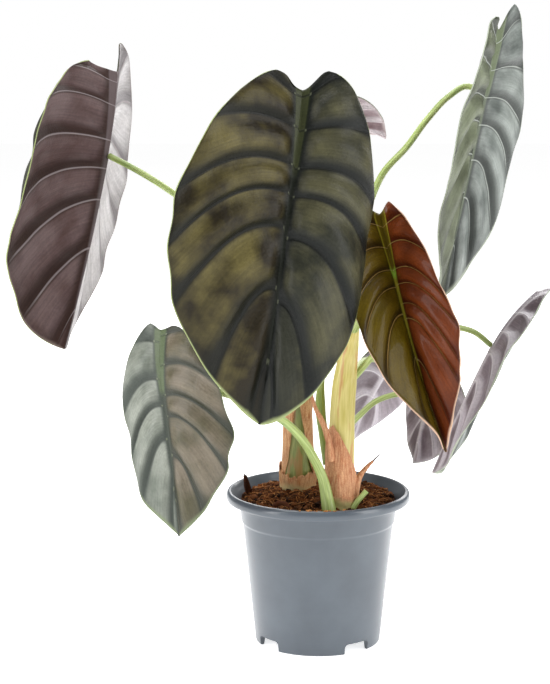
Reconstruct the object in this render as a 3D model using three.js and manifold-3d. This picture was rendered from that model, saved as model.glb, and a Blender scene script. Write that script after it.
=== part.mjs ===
// A potted alocasia: a 12 cm nursery pot of soil, two sheathed stems and nine quilted leaves.
// Millimetres, +Z up. The front looks along -Y, and the origin is the centre of the pot's base.
import * as THREE from 'three';
import { mergeVertices } from 'three/addons/utils/BufferGeometryUtils.js';
import Module from 'manifold-3d';

const wasm = await Module();
wasm.setup();

// ---- driving dimensions ----

const gap = 0.3;             // clearance between pieces that touch
const bladeThickness = 1.2;  // a leaf blade with its veins
const sheathThickness = 1.1; // a papery sheath round a stem
const collarExtra = 0.5;     // the brown collar at a stem's foot is this much thicker
const sheathTop = 150;       // petioles that start below this height meet the right stem's sheath
const sliver = 0.02;         // cut points nearer together than this become one
const leastReach = 1.5;      // half width of a blade at its very tip
const tipTaper = 5;          // a blade half narrower than this is thinner
const tipThin = 0.35;        // and never less than this share of the thickness
const plainFull = [0.7, 0.7]; // how full each half's outline is: a smaller power is fuller

const pot = {
  height: 100.5, baseRadius: 40.9, taper: 0.105, wall: 1.3,
  step: { z: 79, height: 2, out: 0.9 },
  lip: { z: 93, radius: 60, inner: 56.2, round: 1.3 },
  floor: 8.2, underFloor: 6.8, padRadius: 17, padSlope: 1.8, padThickness: 1.4,
  footWidth: 2.7, footCount: 4, firstFoot: -7.6,       // degrees from the front, towards the left
  notch: { width: 19, height: 6.8, corner: 2.5 },
  drain: { radius: 4.2, distance: 29 },
  segments: 36,
};

const soil = { edge: 94.8, shoulder: 97, top: 98.6 };
const collarFoot = 99.2;     // the collars stand just clear of the soil

// Each stem: centre line from below the soil to its top, and radii spread evenly along it.
const stems = {
  left: {
    line: [[-13, 14, 80], [-13, 13, 110], [-13, 9, 145], [-12, 1, 180], [-10, -6, 205]],
    radii: [11, 10.6, 9.2, 8.2, 5.8, 3.4],
  },
  right: {
    line: [[13, -30, 80], [13, -29, 100], [14, -27, 133], [16, -21, 174], [20, -14, 200], [24, -10, 221]],
    radii: [9.8, 9.6, 8.6, 7.8, 7.4, 5.6, 2.6],
  },
};

// Each leaf: where the petiole meets the blade, its tip, the way the upper side faces, the width,
// lobe, fold and droop of its left and right half, and the petiole's route from the stem.
// Angles are degrees: arch bends the blade along its midrib, nod bends the lobes, and flare folds
// the lobe of a half back open. Each swell is [half, where from notch 0 to tip 1, extent, millimetres].
const leaves = {
  front: {
    attach: [-17, -80, 312], tip: [-39, -89, 159], face: [0.28, -0.96, 0], width: [76, 65], lobe: [60, 64],
    notch: 52, fold: [14, 37], droop: [-3, 100], arch: 12, nod: 15, side: 6, twist: 13,
    belly: [1.5, 1.6], full: [0.7, 0.58], point: 0.1, grid: [8, 12], swells: [[0, 0.1, 0.13, 8]],
    petiole: [[-10, -6, 203], [-11, -14, 232], [-14, -40, 278], [-17, -64, 306], [-17, -78, 312]],
    girth: [3.0, 2.5, 2.2, 2.1],
  },
  upper_left: {
    attach: [-137, 30, 316], tip: [-160, 11, 191], face: [-0.83, 0.56, 0.06], width: [54, 92], lobe: [80, 61],
    notch: 56, fold: [41, 31], droop: [34, 76], arch: 5, nod: -19, side: 16, twist: 8, flare: [20, 0],
    belly: [1.5, 1.5], point: 0, grid: [8, 12],
    swells: [[1, 0.25, 0.1, 9], [1, 0.48, 0.09, -4], [1, 0.75, 0.12, 7], [1, 0.95, 0.05, -5]],
    petiole: [[-14, 2, 198], [-28, 6, 228], [-58, 8, 264], [-89, 12, 290], [-115, 20, 306], [-135, 29, 316]],
    girth: [2.6, 2.3, 2.1, 2.0],
  },
  lower_left: {
    attach: [-97.5, -56, 174], tip: [-86.5, -57, 83.5], face: [-0.54, -0.84, -0.08], width: [35, 47],
    lobe: [45, 43],
    notch: 41, fold: [9, 12], droop: [27, 26], arch: 3, nod: 17, side: -4, twist: -9,
    belly: [1.4, 1.5], full: [0.62, 0.6], point: 0.3, grid: [6, 10],
    swells: [[0, 0.12, 0.08, 4], [0, 0.3, 0.08, -4], [0, 0.52, 0.1, 2], [1, 0.75, 0.1, 3]],
    petiole: [[7, -43, 92], [5, -42, 104], [2, -42, 118], [-4, -45, 132], [-10, -49, 143], [-20, -54, 155],
      [-40, -53, 167], [-62, -52, 175], [-84, -53, 178], [-96.5, -54, 175]],
    girth: [4.8, 3.3, 2.8, 2.6, 2.4, 2.3, 2.1],
  },
  upper_right: {
    attach: [107, 20, 355], tip: [80, 16, 224], face: [0.71, -0.7, -0.13], width: [56, 49], lobe: [50, 61],
    notch: 43, fold: [23, 6], droop: [-9, 25], arch: 6, nod: 2, side: 10, twist: 7,
    belly: [1.8, 1.6], point: 0.1, grid: [8, 12],
    petiole: [[24, -10, 220], [26, -5, 252], [33, 0, 290], [41, 3, 307], [56, 9, 323], [70, 15, 341],
      [84, 21, 355], [96, 26, 361], [104, 24, 358], [106, 21, 355.5]],
    girth: [2.6, 2.3, 2.1, 2.0],
  },
  copper: {
    attach: [46, -38, 248], tip: [72, -60, 137], face: [-0.15, -0.97, 0.16], width: [37, 42], lobe: [41, 42],
    notch: 39, fold: [56, 46], droop: [26, 2], arch: 6, nod: 18, side: 6, twist: -17,
    belly: [1.6, 1.4], point: 0.5, grid: [8, 12],
    swells: [[1, 0.04, 0.08, 5], [1, 0.45, 0.12, -4], [1, 0.84, 0.12, 6], [0, 0.35, 0.15, 2]],
    petiole: [[19, -14, 202], [29, -17, 221], [38, -24, 243], [44, -32, 252], [46, -37, 248.5]],
    girth: [2.5, 2.2, 2.0],
  },
  right: {
    attach: [111, -10, 197], tip: [69, -24, 119], face: [0.88, -0.08, -0.47], width: [34, 36], lobe: [53, 48],
    notch: 46, fold: [24, 36], droop: [19, 28], arch: -5, nod: -25, side: 0, twist: 4,
    belly: [1.65, 1.6], point: -0.3, grid: [6, 10],
    petiole: [[17, -20, 172], [26, -16, 182], [36, -16, 193], [52, -20, 204], [70, -22, 210], [86, -20, 211],
      [99, -15, 207], [109.5, -10.5, 198]],
    girth: [2.3, 2.0, 1.9, 1.8],
  },
  small: {
    attach: [72, 10, 162], tip: [64, 11, 117], face: [0.79, 0.6, -0.13], width: [28, 25], lobe: [25, 23],
    notch: 21, fold: [38, 24], droop: [27, 34], arch: 30, nod: 23, side: -11, twist: 2,
    belly: [1.5, 1.7], point: 0.1, grid: [6, 8],
    petiole: [[16, -21, 144], [26, -8, 151], [38, 2, 159], [52, 5, 163], [65, 7, 164], [71, 9.3, 162.3]],
    girth: [2.2, 1.9, 1.8],
  },
  back_low: {
    attach: [49, 70, 169], tip: [20, 62, 118], face: [-0.6, 0.65, 0.4], width: [38, 38], lobe: [43, 43],
    notch: 22, fold: [14, 10], droop: [25, 34], arch: 5, nod: 6, side: 4, twist: 16,
    belly: [1.8, 1.8], point: 0.1, grid: [6, 8],
    petiole: [[15, -22, 164], [22, 0, 175], [30, 26, 181], [42, 50, 177], [49, 69, 169.5]],
    girth: [2.3, 2.0, 1.9],
  },
  back_high: {
    attach: [6, 78, 336], tip: [47, 112, 330], face: [0.15, 0.6, 0.8], width: [26, 28], lobe: [24, 24],
    notch: 20, fold: [30, 30], droop: [25, 40], arch: 20, nod: 12, side: 0, twist: 2,
    belly: [1.7, 1.7], point: 0.1, grid: [6, 8],
    petiole: [[4, -19, 186.6], [2, -14, 215], [0, 10, 262], [2, 45, 308], [5.5, 76.5, 335]],
    girth: [1.9, 1.9, 1.8],
  },
};

const stub = { line: [[19, -37, 88], [22, -37, 98], [30, -35, 108]], radii: [1.9, 1.8, 1.6] };
const spike = { line: [[20, -28, 92], [23, -28, 108], [28, -25, 118], [33, -22, 123], [39, -18, 128]],
  radii: [3.4, 3.2, 2.4, 0.8, 0.4] };
const youngSheath = { line: [[5, -21, 122], [3, -19, 140], [1, -17, 158], [2, -18, 178], [4, -19, 186]],
  radii: [2.4, 3.0, 3.2, 3.4, 2.2, 0.9] };
const sheathHorn = { line: [[7.6, -33, 132], [6, -34.5, 140], [3, -36, 150], [-3, -36, 163], [-7, -35, 178]],
  radii: [2.6, 2.6, 2.2, 1.3, 0.5] };

const chips = {
  rim: { size: [5, 3.5, 17], at: [-46.5, 6, 101.5], turn: [0.1, -0.28, 0.5] },
  front: { size: [13, 7, 5], at: [-24, -33, 98.3], turn: [0.15, 0.1, -0.3] },
};

const finish = {
  pot: { color: 0x8b949d, roughness: 0.38 },
  soil: { color: 0x35190f, roughness: 0.95 },
  bark: { color: 0x23150e, roughness: 0.9 },
  greenStem: { color: 0x7c9646, roughness: 0.45 },
  paleStem: { color: 0xd3c876, roughness: 0.45 },
  sheath: { color: 0xb8704a, roughness: 0.6 },
  petiole: { color: 0x9dbe62, roughness: 0.4 },
  drySheath: { color: 0xb06a38, roughness: 0.7 },
  front: { color: 0x4d4a2e, roughness: 0.32 },
  upper_left: { color: 0x52403f, roughness: 0.4 },
  lower_left: { color: 0x60625a, roughness: 0.32 },
  upper_right: { color: 0x8b938c, roughness: 0.3 },
  copper: { color: 0x7c4520, roughness: 0.25 },
  right: { color: 0x9d979f, roughness: 0.35 },
  small: { color: 0x958f96, roughness: 0.35 },
  back_low: { color: 0xa09096, roughness: 0.4 },
  back_high: { color: 0x8f8a80, roughness: 0.4 },
};

// ---- small tools ----

const rad = THREE.MathUtils.degToRad;
const clamp = THREE.MathUtils.clamp;

// The bare positions of a geometry, with points closer than the tolerance merged into one.
function weld(geometry, tolerance) {
  const bare = geometry.clone();
  bare.deleteAttribute('normal');
  bare.deleteAttribute('uv');
  const welded = mergeVertices(bare, tolerance);
  const index = [];
  for (let i = 0; i < welded.index.count; i += 3) {
    const [a, b, c] = [0, 1, 2].map((k) => welded.index.getX(i + k));
    if (a !== b && b !== c && c !== a) index.push(a, b, c);
  }
  return welded.setIndex(index);
}

// A closed geometry as a solid that can be joined and cut.
function solid(geometry) {
  const closed = weld(geometry, 1e-3);
  const vertProperties = new Float32Array(closed.attributes.position.array);
  const triVerts = new Uint32Array(closed.index.array);
  return new wasm.Manifold(new wasm.Mesh({ numProp: 3, vertProperties, triVerts }));
}

// A solid back as a geometry that a mesh can hold, without the slivers that cuts leave.
function geometryOf(body) {
  const mesh = body.getMesh();
  const geometry = new THREE.BufferGeometry();
  geometry.setAttribute('position', new THREE.BufferAttribute(new Float32Array(mesh.vertProperties), 3));
  geometry.setIndex(new THREE.BufferAttribute(new Uint32Array(mesh.triVerts), 1));
  const clean = weld(geometry, sliver);
  clean.computeVertexNormals();
  return clean;
}

// What is left of a solid after the cuts: its largest piece, without slivers.
function cutAll(body, cutters) {
  const parts = cutters.reduce((left, cutter) => left.subtract(cutter), body).decompose();
  return parts.reduce((best, part) => (part.volume() > best.volume() ? part : best));
}

// The value at t (0 to 1) of numbers spread evenly along a line.
function spread(values, t) {
  const at = clamp(t, 0, 1) * (values.length - 1);
  const low = Math.min(Math.floor(at), values.length - 2);
  return THREE.MathUtils.lerp(values[low], values[low + 1], at - low);
}

// A round stalk that tapers along a smooth line; grow makes it fatter all over, for cutting.
function stalk({ line, radii }, grow = 0, sides = 10, steps = 2 * (line.length - 1)) {
  const curve = new THREE.CatmullRomCurve3(line.map((point) => new THREE.Vector3(...point)));
  const frames = curve.computeFrenetFrames(steps);
  const geometry = new THREE.CylinderGeometry(1, 1, 1, sides, steps);
  const spots = geometry.attributes.position;
  for (let i = 0; i < spots.count; i += 1) {
    const row = Math.round((spots.getY(i) + 0.5) * steps);
    const radius = spread(radii, row / steps) + grow;
    const end = row === 0 ? -grow : row === steps ? grow : 0;
    const spot = curve.getPointAt(row / steps)
      .addScaledVector(frames.tangents[row], end)
      .addScaledVector(frames.binormals[row], spots.getX(i) * radius)
      .addScaledVector(frames.normals[row], spots.getZ(i) * radius);
    spots.setXYZ(i, spot.x, spot.y, spot.z);
  }
  return solid(geometry);
}

// A solid turned about the Z axis out of [radius, height] points that start and end on the axis.
function turned(outline, segments) {
  const geometry = new THREE.LatheGeometry(outline.map(([r, z]) => new THREE.Vector2(r, z)), segments);
  return solid(geometry.rotateX(Math.PI / 2));
}

// ---- pot and soil ----

function potRadius(z) {
  const above = clamp((z - pot.step.z) / pot.step.height, 0, 1);
  return pot.baseRadius + pot.taper * z + pot.step.out * above;
}

function potSolid() {
  const { lip, step, height, wall } = pot;
  const stepTop = step.z + step.height;
  const padEdge = pot.padRadius + pot.padSlope;
  const footInner = pot.baseRadius - pot.footWidth;
  const underside = [[0, 0], [pot.padRadius, 0], [padEdge, pot.underFloor],
    [footInner - 1.6, pot.underFloor], [footInner, 0]];
  const outside = [[pot.baseRadius - 0.5, 0], [potRadius(0.6), 0.6], [potRadius(step.z), step.z],
    [potRadius(stepTop), stepTop], [potRadius(lip.z), lip.z], [lip.radius - 0.8, lip.z],
    [lip.radius, lip.z + 0.9], [lip.radius, height - lip.round - 0.4], [lip.radius - 1.1, height - 0.3],
    [lip.radius - 2.4, height], [lip.inner + 0.4, height - 0.4]];
  const inside = [[lip.inner - 1.6, height - 3], [potRadius(lip.z) - wall, lip.z - 1],
    [potRadius(stepTop) - wall, stepTop], [potRadius(step.z) - wall, step.z],
    [potRadius(10) - wall, 10], [potRadius(pot.floor) - wall - 1, pot.floor],
    [padEdge + 0.2, pot.floor], [pot.padRadius + 0.2, pot.padThickness], [0, pot.padThickness]];
  const cutters = [];
  for (let k = 0; k < pot.footCount; k += 1) {
    const turn = rad(-90 + pot.firstFoot + (k + 0.5) * (360 / pot.footCount));
    cutters.push(notchCutter(turn), drainCutter(turn));
  }
  return cutAll(turned([...underside, ...outside, ...inside], pot.segments), cutters);
}

// The gap between two feet: a slot with rounded top corners, cut straight out through the wall.
function notchCutter(turn) {
  const { width, height, corner } = pot.notch;
  const side = width / 2;
  const slot = new THREE.Shape();
  slot.moveTo(-side, -1).lineTo(side, -1).lineTo(side, height - corner);
  slot.absarc(side - corner, height - corner, corner, 0, Math.PI / 2, false);
  slot.absarc(corner - side, height - corner, corner, Math.PI / 2, Math.PI, false);
  slot.lineTo(-side, -1);
  const geometry = new THREE.ExtrudeGeometry(slot, { depth: 14, bevelEnabled: false, curveSegments: 4 });
  geometry.rotateX(Math.PI / 2).rotateZ(Math.PI / 2);      // now it runs along +X, and +Z is up
  return solid(geometry.translate(pot.baseRadius - 9, 0, 0).rotateZ(turn));
}

function drainCutter(turn) {
  const hole = new THREE.CylinderGeometry(pot.drain.radius, pot.drain.radius, 6, 14);
  return solid(hole.rotateX(Math.PI / 2).translate(pot.drain.distance, 0, pot.floor - 1).rotateZ(turn));
}

function soilSolid(cutters) {
  const stepTop = pot.step.z + pot.step.height;
  const fill = (z) => potRadius(z) - pot.wall - gap;
  const body = turned([
    [0, pot.padThickness + gap], [pot.padRadius - 0.2, pot.padThickness + gap],
    [pot.padRadius + pot.padSlope - 0.4, pot.floor + gap], [fill(pot.floor) - 1.2, pot.floor + gap],
    [fill(10) - 0.1, 10.4], [fill(pot.step.z), pot.step.z], [fill(stepTop), stepTop],
    [fill(soil.edge), soil.edge], [41, soil.shoulder], [24, soil.top - 0.5], [0, soil.top]], pot.segments);
  return cutAll(body, cutters);
}

function chipSolid({ size, at, turn }, grow = 0) {
  const geometry = new THREE.BoxGeometry(...size.map((side) => side + 2 * grow));
  const spots = geometry.attributes.position;
  for (let i = 0; i < spots.count; i += 1) {                // one end is narrower, as split bark is
    const narrow = spots.getZ(i) > 0 ? 0.62 : 1;
    spots.setX(i, spots.getX(i) * narrow);
  }
  const place = new THREE.Matrix4().makeRotationFromEuler(new THREE.Euler(...turn)).setPosition(...at);
  return solid(geometry.applyMatrix4(place));
}

// ---- stems and sheaths ----

// A papery sheath: a skin round the stem between two heights, cut to its own outline.
function sheathSolid(stem, low, high, thickness, cutters) {
  const skin = stalk(stem, gap + thickness, 14, 14).subtract(stalk(stem, gap, 14, 14));
  const band = solid(new THREE.BoxGeometry(80, 80, high - low).translate(0, -10, (low + high) / 2));
  return cutAll(skin.intersect(band), cutters);
}

// A block that cuts a sheath along a slant: it is turned, then placed.
function block(size, turn, at) {
  const place = new THREE.Matrix4().makeRotationFromEuler(new THREE.Euler(...turn)).setPosition(...at);
  return solid(new THREE.BoxGeometry(...size).applyMatrix4(place));
}

// ---- leaf blades ----

// The edge of one half, from the top of its lobe (0) to the tip (1): [distance along, half width].
function bladeEdge(b, belly, full, point) {
  const along = b ** belly;
  const round = Math.max(0, Math.sin(Math.PI * b ** 1.35)) ** (full + point * b ** 4);
  return [along, round + 0.24 * (1 - b) ** 6];
}

// The middle of the blade and its normal at a (0 notch to 1 tip) and t (-1 left to 1 right edge).
function bladeSpot(leaf, a, t) {
  const attach = new THREE.Vector3(...leaf.attach);
  const aim = new THREE.Vector3(...leaf.tip).sub(attach);
  const length = aim.length();
  aim.normalize();
  const face = new THREE.Vector3(...leaf.face);
  face.addScaledVector(aim, -face.dot(aim)).normalize();
  const right = new THREE.Vector3().crossVectors(face, aim);

  const half = t < 0 ? 0 : 1;
  const sign = t < 0 ? -1 : 1;
  const x = Math.abs(t);
  const full = (leaf.full ?? plainFull)[half];
  const [along, wide] = bladeEdge(1 - (1 - a) ** 2.8, leaf.belly[half], full, leaf.point);
  const width = leaf.width[half];
  const middle = -leaf.notch + (leaf.notch + length) * a;
  const edge = -leaf.lobe[half] + (leaf.lobe[half] + length) * along;
  const near = Math.max(0, 1 - a / 0.2);
  const blend = x * x * (1 - near) + near * x * x * (3 - 2 * x);
  const lift = 0.1 * width * Math.sin(Math.PI * x) * (1 - a) * Math.min(1, a * 6);
  const p = middle + (edge - middle) * blend - lift;
  const swell = (leaf.swells ?? []).reduce((sum, [side, centre, extent, amount]) => (
    side === half ? sum + amount * Math.exp(-(((a - centre) / extent) ** 2)) : sum), 0);
  const reach = Math.max(width * wide + swell * Math.min(1, wide * 2), leastReach);
  const q = reach * x;

  const bend = p > 0 ? rad(leaf.arch) / length : (2 * rad(leaf.nod)) / (leaf.lobe[0] + leaf.lobe[1]);
  const angle = bend * p;
  const forward = Math.sin(angle) / bend;
  const drop = -(1 - Math.cos(angle)) / bend;
  const normal = face.clone().multiplyScalar(Math.cos(angle)).addScaledVector(aim, Math.sin(angle));
  const twist = rad(leaf.twist) * (p / length);
  const across = right.clone().multiplyScalar(Math.cos(twist)).addScaledVector(normal, Math.sin(twist));
  normal.multiplyScalar(Math.cos(twist)).addScaledVector(right, -Math.sin(twist));

  const flare = leaf.flare ? leaf.flare[half] * clamp(-p / leaf.lobe[half], 0, 1) : 0;
  const fold = rad(leaf.fold[half] - flare);
  const curl = rad(leaf.droop[half]) / width;
  const slope = fold - curl * q;
  const out = (Math.sin(fold) - Math.sin(slope)) / curl;
  const up = (Math.cos(slope) - Math.cos(fold)) / curl;
  const sway = leaf.side * (p / length) * Math.abs(p / length);
  const spot = attach.addScaledVector(aim, forward).addScaledVector(face, drop)
    .addScaledVector(right, sway).addScaledVector(across, sign * out).addScaledVector(normal, up);
  const lean = x > 0 ? slope : rad(leaf.fold[1] - leaf.fold[0]) / 2;   // the midrib's normal halves the fold
  normal.multiplyScalar(Math.cos(lean)).addScaledVector(across, -sign * Math.sin(lean));
  return { spot, normal, reach };
}

// A thin closed blade: a flat box, two wide and one long, bent onto the leaf's surface.
function bladeSolid(leaf, thickness = bladeThickness) {
  const geometry = new THREE.BoxGeometry(2, 1, thickness, leaf.grid[0], leaf.grid[1], 1);
  splitAlike(geometry);
  const spots = geometry.attributes.position;
  for (let i = 0; i < spots.count; i += 1) {
    const { spot, normal, reach } = bladeSpot(leaf, 0.5 - spots.getY(i), spots.getX(i));
    const thin = clamp(reach / tipTaper, tipThin, 1);      // the narrow tip is thinner too
    spot.addScaledVector(normal, spots.getZ(i) * thin);
    spots.setXYZ(i, spot.x, spot.y, spot.z);
  }
  return solid(geometry);
}

// Splits each cell of the under side along the same diagonal as the cell above it.
function splitAlike(geometry) {
  const { start, count } = geometry.groups[geometry.groups.length - 1];
  const index = geometry.index;
  for (let i = start; i < start + count; i += 6) {
    const [a, b, c, d] = [index.getX(i), index.getX(i + 1), index.getX(i + 4), index.getX(i + 2)];
    [a, b, c, a, c, d].forEach((corner, k) => index.setX(i + k, corner));
  }
}

// ---- assembly ----

const plant = new THREE.Group();

function add(name, body, look) {
  const material = new THREE.MeshStandardMaterial({ metalness: 0, ...look });
  const mesh = new THREE.Mesh(geometryOf(body), material);
  mesh.name = name;
  plant.add(mesh);
}

const { left, right } = stems;
const leftStem = stalk(left, 0, 14, 14);
const rightStem = stalk(right, 0, 14, 14);
const fatLeft = stalk(left, gap, 14, 14);
const fatRight = stalk(right, gap, 14, 14);
const fatBlades = Object.fromEntries(
  Object.entries(leaves).map(([name, leaf]) => [name, bladeSolid(leaf, bladeThickness + 2 * gap)]));

const leftSheath = sheathSolid(left, 111, 178, sheathThickness, [
  block([22, 24, 30], [0, 0.25, 0], [-2, 0, 129]) ,       // the window that shows the green stem
  block([40, 60, 30], [0, -0.5, 0], [4, 0, 190]),          // the slanted top
]);
const leftCollar = sheathSolid(left, collarFoot, 110.6, sheathThickness + collarExtra, [
  block([40, 60, 10], [0.12, 0.2, 0], [-13, 0, 116]),      // its ragged top
]);
const rightSkin = sheathSolid(right, 106, 150, sheathThickness, [
  block([80, 60, 60], [0, 0.87, 0], [37, -28, 152]),       // its edge climbs from right to left
]);
const rightSheath = cutAll(rightSkin.add(stalk(sheathHorn, 0, 8)), [fatRight]);
const rightCollar = sheathSolid(right, collarFoot, 105.6, sheathThickness + collarExtra, []);

add('pot', potSolid(), finish.pot);
add('left_stem', leftStem, finish.greenStem);
add('left_outer_sheath', leftSheath, finish.sheath);
add('left_base_collar', leftCollar, finish.sheath);
add('right_stem', rightStem, finish.paleStem);
add('right_pointed_sheath', rightSheath, finish.sheath);
add('right_base_collar', rightCollar, finish.sheath);

// What grows low on a stem is cut clear of the stem with its sheaths, the rest of the bare stem.
const sheathed = stalk(right, sheathThickness + 2 * gap + collarExtra, 14, 14);
const fatSpike = stalk(spike, gap);
const fatStub = stalk(stub, gap);
add('dry_sheath_spike', cutAll(stalk(spike), [sheathed]), finish.drySheath);
add('cut_petiole_stub', cutAll(stalk(stub), [sheathed]), finish.petiole);
add('young_leaf_sheath', cutAll(stalk(youngSheath), [sheathed]), finish.greenStem);

for (const [name, leaf] of Object.entries(leaves)) {
  const petiole = { line: leaf.petiole, radii: leaf.girth };
  const low = leaf.petiole[0][2] < sheathTop;
  const stemCutters = low ? [sheathed] : [fatLeft, fatRight];
  add(`${name}_petiole`, cutAll(stalk(petiole, 0, 8), [...stemCutters, fatBlades[name]]), finish.petiole);
  add(`${name}_blade`, bladeSolid(leaf), finish[name]);
}

const lowPetiole = stalk({ line: leaves.lower_left.petiole, radii: leaves.lower_left.girth }, gap, 8);
const fatChips = Object.values(chips).map((chip) => chipSolid(chip, gap));
add('potting_soil', soilSolid([fatLeft, fatRight, fatSpike, fatStub, lowPetiole, ...fatChips]), finish.soil);
for (const [name, chip] of Object.entries(chips)) add(`bark_chip_${name}`, chipSolid(chip), finish.bark);

export default plant;
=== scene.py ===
import math
import random

import bmesh
import bpy
from mathutils import Matrix, Vector, noise
from mathutils.geometry import interpolate_bezier


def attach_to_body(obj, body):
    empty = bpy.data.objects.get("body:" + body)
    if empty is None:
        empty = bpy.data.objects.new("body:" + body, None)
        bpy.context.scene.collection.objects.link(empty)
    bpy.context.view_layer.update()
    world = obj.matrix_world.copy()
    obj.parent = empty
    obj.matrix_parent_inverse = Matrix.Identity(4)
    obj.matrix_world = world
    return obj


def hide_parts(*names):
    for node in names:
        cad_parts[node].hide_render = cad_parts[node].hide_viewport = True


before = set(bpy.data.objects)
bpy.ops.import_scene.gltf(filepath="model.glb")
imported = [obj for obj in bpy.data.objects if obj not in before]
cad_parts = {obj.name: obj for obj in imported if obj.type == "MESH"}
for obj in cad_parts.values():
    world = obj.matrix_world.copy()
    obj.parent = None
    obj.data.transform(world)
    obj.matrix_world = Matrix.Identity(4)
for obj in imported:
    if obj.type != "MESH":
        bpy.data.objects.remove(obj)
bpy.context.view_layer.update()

mm = 0.001               # every size below is in millimetres
body = "root"
dice = random.Random(11)
print("frame loaded:", len(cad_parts), "nodes")


# Camera, soft studio light and pale floor.

studio = {
    "camera": (-28.2, -1300, 420.1), "down": 9.69, "lens": 107.46,
    "backdrop": 1.0, "ambient": 0.25,
    "lamps": {
        "topLamp": {"at": (-150, 60, 1450), "look": (0, 0, 180), "size": (900, 900), "watts": 12},
        "leftLamp": {"at": (-1150, -560, 620), "look": (0, 0, 190), "size": (620, 1500), "watts": 17},
        "rightLamp": {"at": (1150, -520, 560), "look": (0, 0, 190), "size": (620, 1400), "watts": 13},
        "backLamp": {"at": (250, 1250, 900), "look": (0, 0, 250), "size": (1400, 900), "watts": 14},
    },
    "floorSize": 9000,
}


def linear(shade):
    channels = [int(shade[i:i + 2], 16) / 255 for i in (1, 3, 5)]
    return [c / 12.92 if c <= 0.04045 else ((c + 0.055) / 1.055) ** 2.4 for c in channels] + [1.0]


eased = {"interpolation_type": "SMOOTHSTEP"}       # settings that many nodes share
inColour = {"data_type": "RGBA"}


def addNode(tree, kind, settings=None, inputs=None, out=0):
    made = tree.nodes.new("ShaderNode" + kind)
    for key, value in (settings or {}).items():
        setattr(made, key, value)
    for key, value in (inputs or {}).items():
        if isinstance(value, bpy.types.NodeSocket):
            tree.links.new(value, made.inputs[key])
        else:
            made.inputs[key].default_value = value
    return made.outputs[out]


def newMaterial(name, rough, coat=0.0, coatRough=0.2, gloss=0.5):
    made = bpy.data.materials.new(name)
    made.use_nodes = True
    shader = made.node_tree.nodes["Principled BSDF"]
    shader.inputs["Roughness"].default_value = rough
    shader.inputs["Coat Weight"].default_value = coat
    shader.inputs["Coat Roughness"].default_value = coatRough
    shader.inputs["Specular IOR Level"].default_value = gloss
    return made, made.node_tree, shader


def aimAt(thing, at, look):
    thing.location = Vector(at) * mm
    thing.rotation_euler = (Vector(look) - Vector(at)).to_track_quat("-Z", "Y").to_euler()


lens = bpy.data.cameras.new("camera")
lens.lens = studio["lens"]
lens.sensor_width = 36
lens.clip_end = 50
camera = bpy.data.objects.new("camera", lens)
camera.location = Vector(studio["camera"]) * mm
camera.rotation_euler = (math.radians(90 - studio["down"]), 0, 0)
bpy.context.collection.objects.link(camera)
bpy.context.scene.camera = camera
bpy.context.scene.view_settings.view_transform = "Standard"

for name, lamp in studio["lamps"].items():
    glow = bpy.data.lights.new(name, "AREA")
    glow.shape = "RECTANGLE"
    glow.size = lamp["size"][0] * mm
    glow.size_y = lamp["size"][1] * mm
    glow.energy = lamp["watts"]
    holder = bpy.data.objects.new(name, glow)
    aimAt(holder, lamp["at"], lamp["look"])
    bpy.context.collection.objects.link(holder)

sky = bpy.data.worlds.new("studioWorld")
sky.use_nodes = True
bpy.context.scene.world = sky
skyTree = sky.node_tree
skyTree.nodes.clear()
seen = addNode(skyTree, "LightPath")
strength = addNode(skyTree, "MapRange", inputs={0: seen, 3: studio["ambient"], 4: studio["backdrop"]})
background = addNode(skyTree, "Background", inputs={"Color": (1, 1, 1, 1), "Strength": strength})
skyTree.links.new(background, skyTree.nodes.new("ShaderNodeOutputWorld").inputs["Surface"])


def floorPlane():
    matt, tree, shader = newMaterial("paleFloor", 0.9)          # matt white paper sweep
    grain = addNode(tree, "TexNoise", inputs={"Scale": 40.0})
    pale = addNode(tree, "Mix", inColour, {0: grain, 6: linear("#f4f4f4"), 7: linear("#fafafa")}, 2)
    tree.links.new(pale, shader.inputs["Base Color"])
    shader.inputs["Emission Color"].default_value = (1, 1, 1, 1)
    shader.inputs["Emission Strength"].default_value = 0.74
    sheet = bmesh.new()
    bmesh.ops.create_grid(sheet, x_segments=2, y_segments=2, size=studio["floorSize"] * mm / 2)
    mesh = bpy.data.meshes.new("floor")
    sheet.to_mesh(mesh)
    sheet.free()
    mesh.materials.append(matt)
    plane = bpy.data.objects.new("floor", mesh)
    bpy.context.collection.objects.link(plane)


floorPlane()
print("studio ready")


# Small helpers that the pieces share.

def spread(values, t):
    at = min(max(t, 0), 1) * (len(values) - 1)
    low = min(int(at), len(values) - 2)
    return values[low] + (values[low + 1] - values[low]) * (at - low)


def smooth(low, high, value):
    t = min(max((value - low) / (high - low), 0), 1)
    return t * t * (3 - 2 * t)


def wander(x, y, z):
    return noise.noise(Vector((x, y, z)))


def smoothLine(points, count):
    knots = [Vector(point) for point in points]
    gaps = [(b - a).length for a, b in zip(knots, knots[1:])]
    steps = [(b - a) / gap for a, b, gap in zip(knots, knots[1:], gaps)]
    slopes = [steps[0]]
    for i in range(1, len(knots) - 1):
        slopes.append((steps[i - 1] * gaps[i] + steps[i] * gaps[i - 1]) / (gaps[i - 1] + gaps[i]))
    slopes.append(steps[-1])
    dense = []
    for i, gap in enumerate(gaps):
        a, b = knots[i], knots[i + 1]
        dense += interpolate_bezier(a, a + slopes[i] * gap / 3, b - slopes[i + 1] * gap / 3, b, 16)[:-1]
    dense.append(knots[-1])
    walked = [0.0]
    for a, b in zip(dense, dense[1:]):
        walked.append(walked[-1] + (b - a).length)
    even, j = [], 0
    for k in range(count):
        goal = walked[-1] * k / (count - 1)
        while j < len(dense) - 2 and walked[j + 1] < goal:
            j += 1
        share = (goal - walked[j]) / max(walked[j + 1] - walked[j], 1e-9)
        even.append(dense[j].lerp(dense[j + 1], min(share, 1)))
    return even, walked[-1]


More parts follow.
